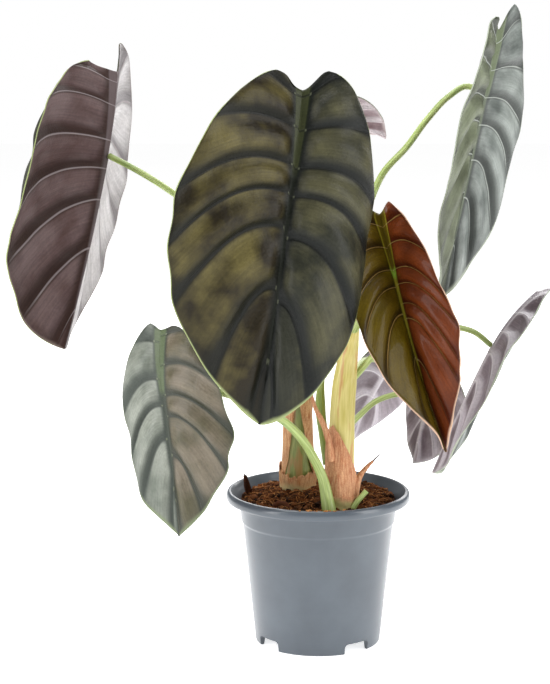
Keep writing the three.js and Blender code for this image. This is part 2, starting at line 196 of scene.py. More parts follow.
# A round stalk along a line; shape(share, angle) makes its radius uneven.
# The layer "straight" keeps where each point would be on the straight stalk, for fibres.
def stalk(bm, line, radii, sides=14, steps=24, shape=None, tint=0.5):
    straight = bm.verts.layers.float_vector.get("straight") or bm.verts.layers.float_vector.new("straight")
    shade = bm.verts.layers.float.get("tint") or bm.verts.layers.float.new("tint")
    spine, length = smoothLine(line, steps + 1)
    first = len(bm.verts)
    firstEdge = len(bm.edges)
    bmesh.ops.create_cone(bm, cap_ends=True, segments=sides, radius1=1, radius2=1, depth=1)
    bm.edges.ensure_lookup_table()
    upright = [e for e in bm.edges[firstEdge:] if abs(e.verts[0].co.z - e.verts[1].co.z) > 0.5]
    if steps > 1:
        bmesh.ops.subdivide_edges(bm, edges=upright, cuts=steps - 1)
    bm.verts.ensure_lookup_table()
    tangents = [(spine[min(i + 1, steps)] - spine[max(i - 1, 0)]).normalized() for i in range(steps + 1)]
    across = [tangents[0].orthogonal().normalized()]
    for tangent in tangents[1:]:
        across.append((across[-1] - tangent * across[-1].dot(tangent)).normalized())
    for vert in bm.verts[first:]:
        row = round((vert.co.z + 0.5) * steps)
        angle = math.atan2(vert.co.y, vert.co.x)
        radius = spread(radii, row / steps)
        if shape:
            radius *= shape(row / steps, angle)
        side = across[row] * math.cos(angle) + tangents[row].cross(across[row]) * math.sin(angle)
        vert[straight] = Vector((math.cos(angle) * radius, math.sin(angle) * radius,
                                 length * row / steps)) * mm
        vert[shade] = tint
        vert.co = (spine[row] + side * radius) * mm


def finishPiece(name, bm, skins, stands=(), recalc=True):
    if recalc:
        bmesh.ops.recalc_face_normals(bm, faces=bm.faces)
    mesh = bpy.data.meshes.new(name)
    bm.to_mesh(mesh)
    bm.free()
    mesh.shade_smooth()
    for skin in skins:
        mesh.materials.append(skin)
    piece = bpy.data.objects.new(name, mesh)
    bpy.context.collection.objects.link(piece)
    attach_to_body(piece, body)
    if stands:
        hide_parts(*stands)
    return piece


def thicken(piece, thickness, sides=0):
    wall = piece.modifiers.new("thickness", "SOLIDIFY")
    wall.thickness = thickness * mm
    wall.offset = 0
    wall.material_offset = sides


# Leaf blades. A blade is a flat grid that is bent, folded and quilted: across runs from the left
# edge (-1) to the right edge (1), and along from the notch (0) to the tip (1).

leaves = {
    "front": {
        "attach": (-17, -80, 312), "tip": (-39, -89, 159), "face": (0.28, -0.96, 0),
        "width": (76, 65), "lobe": (60, 64), "notch": 52, "fold": (14, 37), "droop": (-3, 100),
        "arch": 12, "nod": 15, "side": 6, "twist": 13, "belly": (1.5, 1.6), "point": 0.1,
        "full": (0.7, 0.58), "wave": 0.8, "swells": ((0, 0.1, 0.13, 8),),
              "veins": ((0.02, 0.11, 0.22, 0.30, 0.40, 0.58, 0.80),
                        (0.02, 0.12, 0.23, 0.31, 0.43, 0.62, 0.80)),
        "quilt": 4.2, "cells": (72, 120), "skins": ("oliveTop", "mauveUnder"), "slot": "olive_leaf",
    },
    "upper_left": {
        "attach": (-137, 30, 316), "tip": (-160, 11, 191), "face": (-0.83, 0.56, 0.06),
        "width": (54, 92), "lobe": (80, 61), "notch": 56, "fold": (41, 31), "droop": (34, 76),
        "arch": 5, "nod": -19, "side": 16, "twist": 8, "belly": (1.5, 1.5), "point": 0, "flare": (20, 0),
        "bow": 1.2, "swells": ((1, 0.25, 0.1, 9), (1, 0.48, 0.09, -4), (1, 0.75, 0.12, 7),
                               (1, 0.95, 0.05, -5)), "scallop": 0.025,
        "veins": ((0.04, 0.13, 0.25, 0.35, 0.46, 0.64, 0.86), (0.04, 0.125, 0.25, 0.35, 0.46, 0.636, 0.86)),
        "quilt": 4.0, "cells": (64, 110), "skins": ("oliveTop", "maroonUnder"), "slot": "maroon_leaf",
    },
    "lower_left": {
        "attach": (-97.5, -56, 174), "tip": (-86.5, -57, 83.5), "face": (-0.54, -0.84, -0.08),
        "width": (35, 47), "lobe": (45, 43), "notch": 41, "fold": (9, 12), "droop": (27, 26),
        "arch": 3, "nod": 17, "side": -4, "twist": -9, "belly": (1.4, 1.5), "point": 0.3,
        "full": (0.62, 0.6), "scallop": 0.03,
        "swells": ((0, 0.12, 0.08, 4), (0, 0.3, 0.08, -4), (0, 0.52, 0.1, 2), (1, 0.75, 0.1, 3)),
        "veins": ((0.06, 0.235, 0.36, 0.52, 0.76), (0.17, 0.31, 0.41, 0.60, 0.82)),
        "quilt": 3.6, "cells": (56, 80), "skins": ("greyGreenTop", "mauveUnder"), "slot": "grey_green_leaf",
    },
    "upper_right": {
        "attach": (107, 20, 355), "tip": (80, 16, 224), "face": (0.71, -0.7, -0.13),
        "width": (56, 49), "lobe": (50, 61), "notch": 43, "fold": (23, 6), "droop": (-9, 25),
        "arch": 6, "nod": 2, "side": 10, "twist": 7, "belly": (1.8, 1.6), "point": 0.1,
        "veins": ((0.04, 0.14, 0.25, 0.34, 0.46, 0.60, 0.78), (0.05, 0.15, 0.25, 0.35, 0.48, 0.62, 0.80)),
        "quilt": 4.2, "cells": (64, 100), "skins": ("silverSheenTop", "mauveUnder"), "slot": "silver_leaf",
    },
    "copper": {
        "attach": (46, -38, 248), "tip": (72, -60, 137), "face": (-0.15, -0.97, 0.16),
        "width": (37, 42), "lobe": (41, 42), "notch": 39, "fold": (56, 46), "droop": (26, 2),
        "arch": 6, "nod": 18, "side": 6, "twist": -17, "belly": (1.6, 1.4), "point": 0.5,
        "swells": ((1, 0.04, 0.08, 5), (1, 0.45, 0.12, -4), (1, 0.84, 0.12, 6), (0, 0.35, 0.15, 2)),
        "veins": ((0.06, 0.15, 0.24, 0.31, 0.42, 0.60, 0.80),
                  (0.06, 0.14, 0.24, 0.30, 0.38, 0.44, 0.61, 0.80)),
        "quilt": 3.0, "cells": (60, 100), "skins": ("copperTop", "copperUnder"), "slot": "copper_leaf",
    },
    "right": {
        "attach": (111, -10, 197), "tip": (69, -24, 119), "face": (0.88, -0.08, -0.47),
        "width": (34, 36), "lobe": (53, 48), "notch": 46, "fold": (24, 36), "droop": (19, 28),
        "arch": -5, "nod": -25, "side": 0, "twist": 4, "belly": (1.65, 1.6), "point": -0.3,
        "veins": ((0.05, 0.15, 0.26, 0.38, 0.52, 0.68, 0.84), (0.05, 0.15, 0.26, 0.38, 0.52, 0.68, 0.84)),
        "quilt": 3.4, "cells": (52, 84), "skins": ("silverSheenTop", "mauveUnder"), "slot": "mauve_leaf",
    },
    "small": {
        "attach": (72, 10, 162), "tip": (64, 11, 117), "face": (0.79, 0.6, -0.13),
        "width": (28, 25), "lobe": (25, 23), "notch": 21, "fold": (38, 24), "droop": (27, 34),
        "arch": 30, "nod": 23, "side": -11, "twist": 2, "belly": (1.5, 1.7), "point": 0.1,
        "veins": ((0.08, 0.24, 0.40, 0.58, 0.80), (0.08, 0.24, 0.40, 0.58, 0.80)),
        "quilt": 2.4, "cells": (44, 60), "skins": ("silverSheenTop", "mauveUnder"), "slot": "mauve_leaf",
    },
    "back_low": {
        "attach": (49, 70, 169), "tip": (20, 62, 118), "face": (-0.6, 0.65, 0.4),
        "width": (38, 38), "lobe": (43, 43), "notch": 22, "fold": (14, 10), "droop": (25, 34),
        "arch": 5, "nod": 6, "side": 4, "twist": 16, "belly": (1.8, 1.8), "point": 0.1,
        "veins": ((0.08, 0.22, 0.38, 0.56, 0.78), (0.08, 0.22, 0.38, 0.56, 0.78)),
        "quilt": 2.6, "cells": (48, 64), "skins": ("greyGreenTop", "mauveUnder"), "slot": "mauve_leaf",
    },
    "back_high": {
        "attach": (6, 78, 336), "tip": (47, 112, 330), "face": (0.15, 0.6, 0.8),
        "width": (26, 28), "lobe": (24, 24), "notch": 20, "fold": (30, 30), "droop": (25, 40),
        "arch": 20, "nod": 12, "side": 0, "twist": 2, "belly": (1.7, 1.7), "point": 0.1,
        "veins": ((0.08, 0.24, 0.42, 0.60, 0.80), (0.08, 0.24, 0.42, 0.60, 0.80)),
        "quilt": 2.2, "cells": (44, 60), "skins": ("greyGreenTop", "palePinkUnder"), "slot": "mauve_leaf",
    },
}

bladeThickness = 0.7


# The edge of one half: how far along it is and how wide, from the top of its lobe (0) to the tip (1).
def bladeEdge(b, belly, point, full):
    along = b ** belly
    wide = max(0, math.sin(math.pi * b ** 1.35)) ** (full + point * b ** 4) + 0.24 * (1 - b) ** 6
    return along, wide


# How many veins lie between the notch and this place, so that whole numbers are veins.
def veinBeat(veins, a):
    if a <= veins[0]:
        return (a - veins[0]) / (veins[1] - veins[0])
    for i in range(len(veins) - 1):
        if a <= veins[i + 1]:
            return i + (a - veins[i]) / (veins[i + 1] - veins[i])
    return len(veins) - 1 + 0.62 * (a - veins[-1]) / (1 - veins[-1])


def bladeSpot(leaf, a, t):
    attach = Vector(leaf["attach"])
    aim = Vector(leaf["tip"]) - attach
    length = aim.length
    aim.normalize()
    face = Vector(leaf["face"])
    face = (face - aim * face.dot(aim)).normalized()
    right = face.cross(aim)

    half = 0 if t < 0 else 1
    sign = -1 if t < 0 else 1
    x = abs(t)
    along, wide = bladeEdge(1 - (1 - a) ** 2.8, leaf["belly"][half], leaf["point"],
                            leaf.get("full", (0.7, 0.7))[half])
    width = leaf["width"][half]
    beat = veinBeat(leaf["veins"][half], a)
    lobe = leaf["lobe"]
    middle = -leaf["notch"] + (leaf["notch"] + length) * a
    edge = -lobe[half] + (lobe[half] + length) * along
    near = max(0, 1 - a / 0.2)
    blend = x ** leaf.get("bow", 2) * (1 - near) + near * x * x * (3 - 2 * x)
    lift = 0.1 * width * math.sin(math.pi * x) * (1 - a) * min(1, a * 6)
    p = middle + (edge - middle) * blend - lift
    reach = max(width * wide, 0.6) * (1 + leaf.get("scallop", 0.012) * math.cos(math.tau * beat))
    for side, centre, extent, amount in leaf.get("swells", ()):
        if side == half:
            reach += amount * min(1, wide * 2) * math.exp(-((a - centre) / extent) ** 2)
    q = reach * x

    bend = math.radians(leaf["arch"]) / length if p > 0 else 2 * math.radians(leaf["nod"]) / sum(lobe)
    angle = bend * p
    forward = math.sin(angle) / bend
    drop = -(1 - math.cos(angle)) / bend
    normal = face * math.cos(angle) + aim * math.sin(angle)
    twist = math.radians(leaf["twist"]) * p / length
    across = right * math.cos(twist) + normal * math.sin(twist)
    normal = normal * math.cos(twist) - right * math.sin(twist)

    flare = leaf.get("flare", (0, 0))[half] * min(max(-p / lobe[half], 0), 1)
    fold = math.radians(leaf["fold"][half] - flare)
    curl = math.radians(leaf["droop"][half]) / width
    slope = fold - curl * q
    out = (math.sin(fold) - math.sin(slope)) / curl
    up = (math.cos(slope) - math.cos(fold)) / curl
    sway = leaf["side"] * (p / length) * abs(p / length)
    spot = attach + aim * forward + face * drop + right * sway + across * (sign * out) + normal * up
    lean = slope if x > 0 else 0
    normal = normal * math.cos(lean) - across * (sign * math.sin(lean))

    # the quilting between the veins, steeper on its lower side, and the strip between the lobes' ribs
    step = beat - math.floor(beat)
    rib = 2.0 * (1 - a) + 0.5 if p > 0 else 2.2 + 3.2 * (-p / leaf["notch"])
    gap = q - rib * min(1, reach / 12)
    swell = smooth(0, 9, gap) * (1 - x ** 7) * (1 - 0.85 * a ** 5)
    bulge = 1 - abs(math.cos(math.pi * step ** 1.4)) ** 4
    spot += normal * (leaf["quilt"] * (bulge - 0.3) * swell)
    spot += normal * (leaf.get("wave", 1.2) * math.sin(math.pi * beat + 2 * sign) * x ** 3 * min(1,
                                                                                                 3 * (1 - a)))
    spot += normal * (leaf["quilt"] * 0.16 * wander(q * sign / 13, p / 13, length) * min(1, x * 4))
    if p > 0:
        spot -= normal * 0.9 * (1 - smooth(0, rib + 1.5, q)) * (1 - a)
    # painted light and shade for the colour, not shape: brightest just below each vein, darkening towards the
    # next, and darker near the midrib and towards the margin
    lit = smooth(0, 0.1, step) * (1 - smooth(0.5, 1, step)) * smooth(-1, 0.09 * width,
                                                                     gap) * (1 - 0.5 * x ** 6)
    return spot, (t, middle / length, beat), (gap, lit, max(reach, 9) * (1 - x))


def leafBlade(name, leaf, skins):
    bm = bmesh.new()
    place = bm.verts.layers.float_vector.new("leafPlace")
    # this layer holds each point's distance from the ribs, its painted light and shade for the colour, and
    # its distance from the edge
    reliefAndLight = bm.verts.layers.float_vector.new("leafReliefAndLight")
    uvLayer = bm.loops.layers.uv.new("UVMap")
    bmesh.ops.create_grid(bm, x_segments=leaf["cells"][0], y_segments=leaf["cells"][1], size=1)
    for vert in bm.verts:
        spot, vert[place], vert[reliefAndLight] = bladeSpot(leaf, 0.5 - vert.co.y / 2, vert.co.x)
        vert.co = spot * mm
    for loop in (loop for part in bm.faces for loop in part.loops):
        loop[uvLayer].uv = (loop.vert[place][0] / 2 + 0.5, loop.vert[place][1])
    piece = finishPiece(name, bm, skins, [name], recalc=False)
    thicken(piece, bladeThickness, 1)
    return piece


# Living leaf skin: waxy quilted tissue, with thin veins, two ribs and a pale edge.
# Its gloss gives soft satin highlights, and its colour holds painted light and shade: bright swellings and
# dark hollows along the veins, a broad painted highlight, and on some leaves halves painted with reflection
# or shade.
def leafSkin(name, look):
    made, tree, shader = newMaterial(name, look["rough"], look["coat"], look["coatRough"], look["gloss"])
    place = addNode(tree, "Attribute", {"attribute_name": "leafPlace"}, out=1)
    reliefAndLight = addNode(tree, "Attribute", {"attribute_name": "leafReliefAndLight"}, out=1)
    across, along, beat = addNode(tree, "SeparateXYZ", inputs={0: place}).node.outputs[:3]
    # the middle value is the blade's painted light and shade, not its height
    gap, paintedLight, edge = addNode(tree, "SeparateXYZ", inputs={0: reliefAndLight}).node.outputs[:3]
    spot = addNode(tree, "TexCoord", out=3)

    turn = addNode(tree, "Math", {"operation": "MULTIPLY"}, {0: beat, 1: math.pi})
    wave = addNode(tree, "Math", {"operation": "COSINE"}, {0: turn})
    wave = addNode(tree, "Math", {"operation": "ABSOLUTE"}, {0: wave})
    inside = addNode(tree, "MapRange", inputs={0: edge, 1: 0.5, 2: 9.0})
    fine = addNode(tree, "MapRange", eased,
                   {0: wave, 1: 1 - look["veinWidth"], 2: 1.0, 4: look["veinShow"]})
    vein = addNode(tree, "Math", {"operation": "MULTIPLY"}, {0: fine, 1: inside})
    ribs = addNode(tree, "MapRange", eased, {0: gap, 1: 0.7, 2: -0.9})
    off = addNode(tree, "Math", {"operation": "ABSOLUTE"}, {0: gap})
    costa = addNode(tree, "MapRange", eased, {0: off, 1: 1.1, 2: 0.1})
    lobe = addNode(tree, "MapRange", inputs={0: along, 1: 0.02, 2: -0.04})
    strip = addNode(tree, "Math", {"operation": "MULTIPLY"}, {0: ribs, 1: lobe})
    ribs = addNode(tree, "Mix", inputs={0: lobe, 2: ribs, 3: costa})
    ribs = addNode(tree, "Math", {"operation": "MULTIPLY"}, {0: ribs, 1: look["ribShow"]})
    # painted light and shade: the hollow tone goes where the blade's painted light is low, just above each
    # vein, near the midrib and at the margin
    litShare = addNode(tree, "MapRange", eased, {0: paintedLight, 1: 0.0, 2: 0.9})
    right = addNode(tree, "MapRange", inputs={0: across, 1: -0.04, 2: 0.04})

    # patches about 25 mm wide, and streaks a millimetre apart that run with the veins
    patch = addNode(tree, "TexNoise", inputs={"Vector": spot, "Scale": 1 / (25 * mm), "Detail": 3.0})
    # painted broad highlight: with a positive fade the glow patches are strongest just below where the
    # petiole joins and die away towards the notch and the tip; a negative fade turns this round
    fromHighlight = addNode(tree, "Math", {"operation": "SUBTRACT"}, {0: along, 1: 0.08})
    fromHighlight = addNode(tree, "Math", {"operation": "MULTIPLY"}, {0: fromHighlight, 1: fromHighlight})
    patch = addNode(tree, "Math", {"operation": "MULTIPLY_ADD"}, {0: fromHighlight, 1: -look["paintedHighlightFade"], 2: patch})
    patch = addNode(tree, "MapRange", inputs={0: patch, 1: 0.34, 2: 0.6})
    streakPlace = addNode(tree, "VectorMath", {"operation": "MULTIPLY"}, {0: place, 1: (3.0, 0, 20)})
    streak = addNode(tree, "TexNoise", inputs={"Vector": streakPlace, "Scale": 1.0, "Detail": 4.0})
    mottle = addNode(tree, "TexNoise", inputs={"Vector": spot, "Scale": 1 / (1.6 * mm), "Detail": 2.0})

    # each half can have its own tones, and on several leaves the difference is painted: a bluer reflection on
    # the olive face's right half, a pale reflection on the maroon back's left half, a silvery reflection on
    # the silver face's right half, and shade on the copper face's olive left half
    tones = []
    for tone in ("hollowShade", "body", "glow"):
        left, other = look[tone] if isinstance(look[tone], tuple) else (look[tone], look[tone])
        tones.append(addNode(tree, "Mix", inColour, {0: right, 6: linear(left), 7: linear(other)}, 2))
    colour = addNode(tree, "Mix", inColour, {0: patch, 6: tones[1], 7: tones[2]}, 2)
    colour = addNode(tree, "Mix", inColour, {0: litShare, 6: tones[0], 7: colour}, 2)
    light = addNode(tree, "MapRange", inputs={0: streak, 1: 0.3, 2: 0.7, 3: 0.84, 4: 1.18})
    colour = addNode(tree, "VectorMath", {"operation": "SCALE"}, {0: colour, "Scale": light})
    light = addNode(tree, "MapRange", inputs={0: mottle, 1: 0.3, 2: 0.7, 3: 0.92, 4: 1.08})
    colour = addNode(tree, "VectorMath", {"operation": "SCALE"}, {0: colour, "Scale": light})
    colour = addNode(tree, "Mix", inColour, {0: strip, 6: colour, 7: linear(look["strip"])}, 2)
    # rib colour; on the olive face it is near-black, painted shadow along the ribs
    colour = addNode(tree, "Mix", inColour, {0: ribs, 6: colour, 7: linear(look["rib"])}, 2)
    colour = addNode(tree, "Mix", inColour, {0: vein, 6: colour, 7: linear(look["vein"])}, 2)
    joint = addNode(tree, "MapRange", eased, {0: off, 1: 0.8, 2: 0.2, 4: look["speck"]})
    joint = addNode(tree, "Math", {"operation": "MULTIPLY"}, {0: joint, 1: fine})
    colour = addNode(tree, "Mix", inColour, {0: joint, 6: colour, 7: linear("#b9bf9a")}, 2)
    rim = addNode(tree, "MapRange", eased, {0: edge, 1: look["edgeWidth"], 2: 0.0})
    colour = addNode(tree, "Mix", inColour, {0: rim, 6: colour, 7: linear(look["edge"])}, 2)
    if "heart" in look:                                        # where the petiole joins, showing through
        level = addNode(tree, "Math", {"operation": "ABSOLUTE"}, {0: along})
        level = addNode(tree, "MapRange", eased, {0: level, 1: 0.045, 2: 0.0})
        level = addNode(tree, "Math", {"operation": "MULTIPLY"}, {0: level, 1: ribs})
        colour = addNode(tree, "Mix", inColour, {0: level, 6: colour, 7: linear(look["heart"])}, 2)
    tree.links.new(colour, shader.inputs["Base Color"])

    rough = addNode(tree, "MapRange",
                    inputs={0: mottle, 1: 0.3, 2: 0.7, 3: look["rough"] - 0.05, 4: look["rough"] + 0.06})
    tree.links.new(rough, shader.inputs["Roughness"])
    height = addNode(tree, "Math", {"operation": "MULTIPLY_ADD"}, {0: streak, 1: 0.7, 2: mottle})
    height = addNode(tree, "Math", {"operation": "MULTIPLY_ADD"}, {0: fine, 1: look["veinLift"], 2: height})
    bump = addNode(tree, "Bump", inputs={"Height": height, "Distance": 0.35 * mm, "Strength": 0.8})
    tree.links.new(bump, shader.inputs["Normal"])
    return made


leafLooks = {
    # a mature leaf's face: near-black hollows painted as shade, olive and bronze swellings, a right half
    # painted bluer as a reflection, and near-black ribs painted as shadow along them
    "oliveTop": {"hollowShade": ("#101109", "#121513"), "body": ("#231d0f", "#2a2b22"),
                 "glow": ("#5b532f", "#4d4b36"), "vein": "#0b0d09", "veinWidth": 0.01, "veinShow": 0.6,
                 "rib": "#161a10", "ribShow": 0.9, "strip": "#363a22", "speck": 0.25, "edge": "#9aa571",
                 "edgeWidth": 0.5, "veinLift": -1.2, "paintedHighlightFade": 0.8,
                 "rough": 0.42, "coat": 0.05, "coatRough": 0.25, "gloss": 0.16},
    # the back of the big left leaf: maroon brown, with a pale painted reflection on the half that is turned
    # away
    "maroonUnder": {"hollowShade": ("#7d7879", "#35241f"), "body": ("#b9b5b5", "#4f3a38"),
                    "glow": ("#d3d0d0", "#6a5857"), "vein": "#a59a9b", "veinWidth": 0.004, "veinShow": 0.6,
                    "rib": "#6d6062", "ribShow": 0.5, "strip": "#5f5252", "speck": 0.0, "edge": "#75675f",
                    "edgeWidth": 0.7, "veinLift": 1.8, "paintedHighlightFade": -0.3,
                    "rough": 0.46, "coat": 0.02, "coatRough": 0.3, "gloss": 0.2},
    # grey-green face with brownish swellings
    "greyGreenTop": {"hollowShade": ("#343b34", "#282b20"), "body": ("#5d6359", "#4b4733"),
                     "glow": ("#868a80", "#6b6253"), "vein": "#2b312a", "veinWidth": 0.008, "veinShow": 0.5,
                     "rib": "#3b4238", "ribShow": 0.6, "strip": "#4e5a3e", "speck": 0.4, "edge": "#6f7a5a",
                     "edgeWidth": 0.7, "veinLift": -1.0, "paintedHighlightFade": 0.1,
                     "rough": 0.42, "coat": 0.08, "coatRough": 0.3, "gloss": 0.3},
    # a green-grey face painted silvery grey as a reflection, most on the right half, with white vein lines
    "silverSheenTop": {"hollowShade": ("#2b3025", "#303531"), "body": ("#464b37", "#595f5b"),
                  "glow": ("#6d745c", "#8b918c"), "vein": "#b9bfb7", "veinWidth": 0.003, "veinShow": 0.6,
                  "rib": "#7d876f", "ribShow": 0.45, "strip": "#5d674c", "speck": 0.0, "edge": "#a3ab98",
                  "edgeWidth": 0.7, "veinLift": 1.2, "paintedHighlightFade": 0.1,
                  "rough": 0.42, "coat": 0.1, "coatRough": 0.3, "gloss": 0.3},
    # the new leaf: wet-looking copper on the right, and on the left olive tones that paint that half as lying
    # in shade
    "copperTop": {"hollowShade": ("#2b2008", "#3c1508"), "body": ("#4a3908", "#5c280d"),
                  "glow": ("#574808", "#6b3213"), "vein": "#8f7440", "veinWidth": 0.004, "veinShow": 0.8,
                  "rib": "#7d7420", "ribShow": 0.95, "strip": "#54470f", "speck": 0.3, "edge": "#c9a88f",
                  "edgeWidth": 0.3, "veinLift": 0.8, "heart": "#86b23c", "paintedHighlightFade": 0.7,
                  "rough": 0.38, "coat": 0.1, "coatRough": 0.05, "gloss": 0.12},
    "copperUnder": {"hollowShade": "#54302a", "body": "#6b3f31", "glow": "#7c5040", "vein": "#a58268",
                    "veinWidth": 0.008, "veinShow": 0.8, "rib": "#9a8a52", "ribShow": 0.8, "strip": "#7c5040",
                    "speck": 0.0, "edge": "#c9a894", "edgeWidth": 0.7, "veinLift": 1.4, "paintedHighlightFade": 0,
                    "rough": 0.38, "coat": 0.15, "coatRough": 0.2, "gloss": 0.3},
    # pale mauve back with darker blotches
    "mauveUnder": {"hollowShade": "#b5adb4", "body": "#8b8087", "glow": "#64575d", "vein": "#cdc7cb",
                   "veinWidth": 0.006, "veinShow": 0.85, "rib": "#bbb4b9", "ribShow": 0.8, "strip": "#8f858c",
                   "speck": 0.0, "edge": "#b0a9ad", "edgeWidth": 0.7, "veinLift": 1.4, "paintedHighlightFade": 0,
                   "rough": 0.42, "coat": 0.1, "coatRough": 0.3, "gloss": 0.35},
    "palePinkUnder": {"hollowShade": "#cdc3c6", "body": "#a08d92", "glow": "#5f4044", "vein": "#d2cbce",
                      "veinWidth": 0.006, "veinShow": 0.85, "rib": "#c4babd", "ribShow": 0.8,
                      "strip": "#a99ba0", "speck": 0.0, "edge": "#b3a4a2", "edgeWidth": 0.7,
                      "veinLift": 1.4, "paintedHighlightFade": 0,
                      "rough": 0.42, "coat": 0.1, "coatRough": 0.3, "gloss": 0.35},
}

leafSkins = {name: leafSkin(name, look) for name, look in leafLooks.items()}
for name, leaf in leaves.items():
    leafBlade(name + "_blade", leaf, [leafSkins[skin] for skin in leaf["skins"]])
print("leaf blades:", len(leaves))


# Petioles and stems: juicy green stalks with fine lengthwise fibres.

def stalkSkin(name, look):
    made, tree, shader = newMaterial(name, look["rough"], look["coat"], 0.25)
    straight = addNode(tree, "Attribute", {"attribute_name": "straight"}, out=1)
    spot = addNode(tree, "TexCoord", out=3)
    # fibres a millimetre apart, and 20 times as long
    drawn = addNode(tree, "VectorMath", {"operation": "MULTIPLY"},
                    {0: straight, 1: (1 / (1.0 * mm), 1 / (1.0 * mm), 1 / (20 * mm))})
    fibre = addNode(tree, "TexNoise", inputs={"Vector": drawn, "Scale": 1.0, "Detail": 3.0})
    broad = addNode(tree, "VectorMath", {"operation": "MULTIPLY"},
                    {0: straight, 1: (1 / (5 * mm), 1 / (5 * mm), 1 / (34 * mm))})
    patch = addNode(tree, "TexNoise", inputs={"Vector": broad, "Scale": 1.0, "Detail": 3.0})
    mix = addNode(tree, "MapRange", inputs={0: fibre, 1: 0.35, 2: 0.65})
    colour = addNode(tree, "Mix", inColour, {0: mix, 6: linear(look["body"]), 7: linear(look["light"])}, 2)
    stain = addNode(tree, "MapRange", eased,
                    {0: patch, 1: look["stainFrom"], 2: look["stainFrom"] + 0.1, 4: look["stainShow"]})
    colour = addNode(tree, "Mix", inColour, {0: stain, 6: colour, 7: linear(look["stain"])}, 2)
    rise = addNode(tree, "SeparateXYZ", inputs={0: spot}).node.outputs[2]
    foot = addNode(tree, "MapRange", eased,
                   {0: rise, 1: look["foot"][1] * mm, 2: look["foot"][0] * mm, 4: look["footShow"]})
    colour = addNode(tree, "Mix", inColour, {0: foot, 6: colour, 7: linear(look["footShade"])}, 2)
    tree.links.new(colour, shader.inputs["Base Color"])
    bump = addNode(tree, "Bump", inputs={"Height": fibre, "Distance": 0.3 * mm, "Strength": 0.6})
    tree.links.new(bump, shader.inputs["Normal"])
    shader.inputs["Subsurface Weight"].default_value = 0.15
    shader.inputs["Subsurface Radius"].default_value = (1.2 * mm, 1.6 * mm, 0.6 * mm)
    shader.inputs["Subsurface Scale"].default_value = 1.0
    return made


stalkLooks = {
    "petioleGreen": {"body": "#889a4e", "light": "#b4c47c", "stain": "#6d8f42", "stainFrom": 0.55,
                     "stainShow": 0.5, "foot": (60, 61), "footShow": 0.0, "footShade": "#c9cf9a",
                     "rough": 0.42, "coat": 0.15},
    "stemYellow": {"body": "#c2b660", "light": "#d8cc86", "stain": "#c08a56", "stainFrom": 0.56,
                   "stainShow": 0.75, "foot": (96, 112), "footShow": 0.8, "footShade": "#b9c48c",
                   "rough": 0.45, "coat": 0.1},
    "stemGreen": {"body": "#747f3c", "light": "#929a54", "stain": "#a87a48", "stainFrom": 0.52,
                  "stainShow": 0.7, "foot": (96, 110), "footShow": 0.9, "footShade": "#b5bd86",
                  "rough": 0.45, "coat": 0.1},
    "sheathGreen": {"body": "#7b8c3c", "light": "#98a455", "stain": "#5d7030", "stainFrom": 0.55,
                    "stainShow": 0.5, "foot": (60, 61), "footShow": 0.0, "footShade": "#c9cf9a",
                    "rough": 0.45, "coat": 0.1},
}
stalkSkins = {name: stalkSkin(name, look) for name, look in stalkLooks.items()}

petioles = {
    "front": {"line": ((-10, -6, 203), (-11, -14, 232), (-14, -40, 278), (-17, -64, 306), (-17, -79, 312)),
              "girth": (3.0, 2.5, 2.2, 2.1)},
    "upper_left": {"line": ((-14, 2, 198), (-28, 6, 228), (-58, 8, 264), (-89, 12, 290), (-115, 20, 306),
                            (-136, 29.5, 316)), "girth": (2.6, 2.3, 2.1, 2.0)},
    "lower_left": {"line": ((7, -43, 92), (5, -42, 104), (2, -42, 118), (-4, -45, 132), (-10, -49, 143),
                            (-20, -54, 155), (-40, -53, 167), (-62, -52, 175), (-84, -53, 178),
                            (-97, -55.3, 175)),
                   "girth": (4.8, 3.3, 2.8, 2.6, 2.4, 2.3, 2.1)},
    "upper_right": {"line": ((24, -10, 220), (26, -5, 252), (33, 0, 290), (41, 3, 307), (56, 9, 323),
                             (70, 15, 341), (84, 21, 355), (96, 26, 361), (104, 24, 358), (106, 21, 355.5)),
                    "girth": (2.6, 2.3, 2.1, 2.0)},
    "copper": {"line": ((19, -14, 202), (29, -17, 221), (38, -24, 243), (44, -32, 252), (46, -37, 248.5)),
               "girth": (2.5, 2.2, 2.0)},
    "right": {"line": ((17, -20, 172), (26, -16, 182), (36, -16, 193), (52, -20, 204), (70, -22, 210),
                       (86, -20, 211), (99, -15, 207), (110, -10.5, 198)), "girth": (2.3, 2.0, 1.9, 1.8)},
    "small": {"line": ((16, -21, 144), (26, -8, 151), (38, 2, 159), (52, 5, 163), (65, 7, 164),
                       (71, 9.3, 162.3)),
              "girth": (2.2, 1.9, 1.8)},
    "back_low": {"line": ((15, -22, 164), (22, 0, 175), (30, 26, 181), (42, 50, 177), (49, 69, 169.5)),
                 "girth": (2.3, 2.0, 1.9)},
    "back_high": {"line": ((4, -19, 186.6), (2, -14, 215), (0, 10, 262), (2, 45, 308), (5.5, 77, 335.5)),
                  "girth": (1.9, 1.9, 1.8)},
}


def petiole(name, look):
    bm = bmesh.new()
    # faintly three-sided, and a little uneven along its length
    stalk(bm, look["line"], look["girth"], 16, 60,
          lambda share, angle: 1 + 0.04 * math.cos(3 * angle) + 0.03 * wander(share * 9, angle, 1.7))
    finishPiece(name, bm, [stalkSkins["petioleGreen"]], [name])


for name, look in petioles.items():
    petiole(name + "_petiole", look)
print("petioles:", len(petioles))

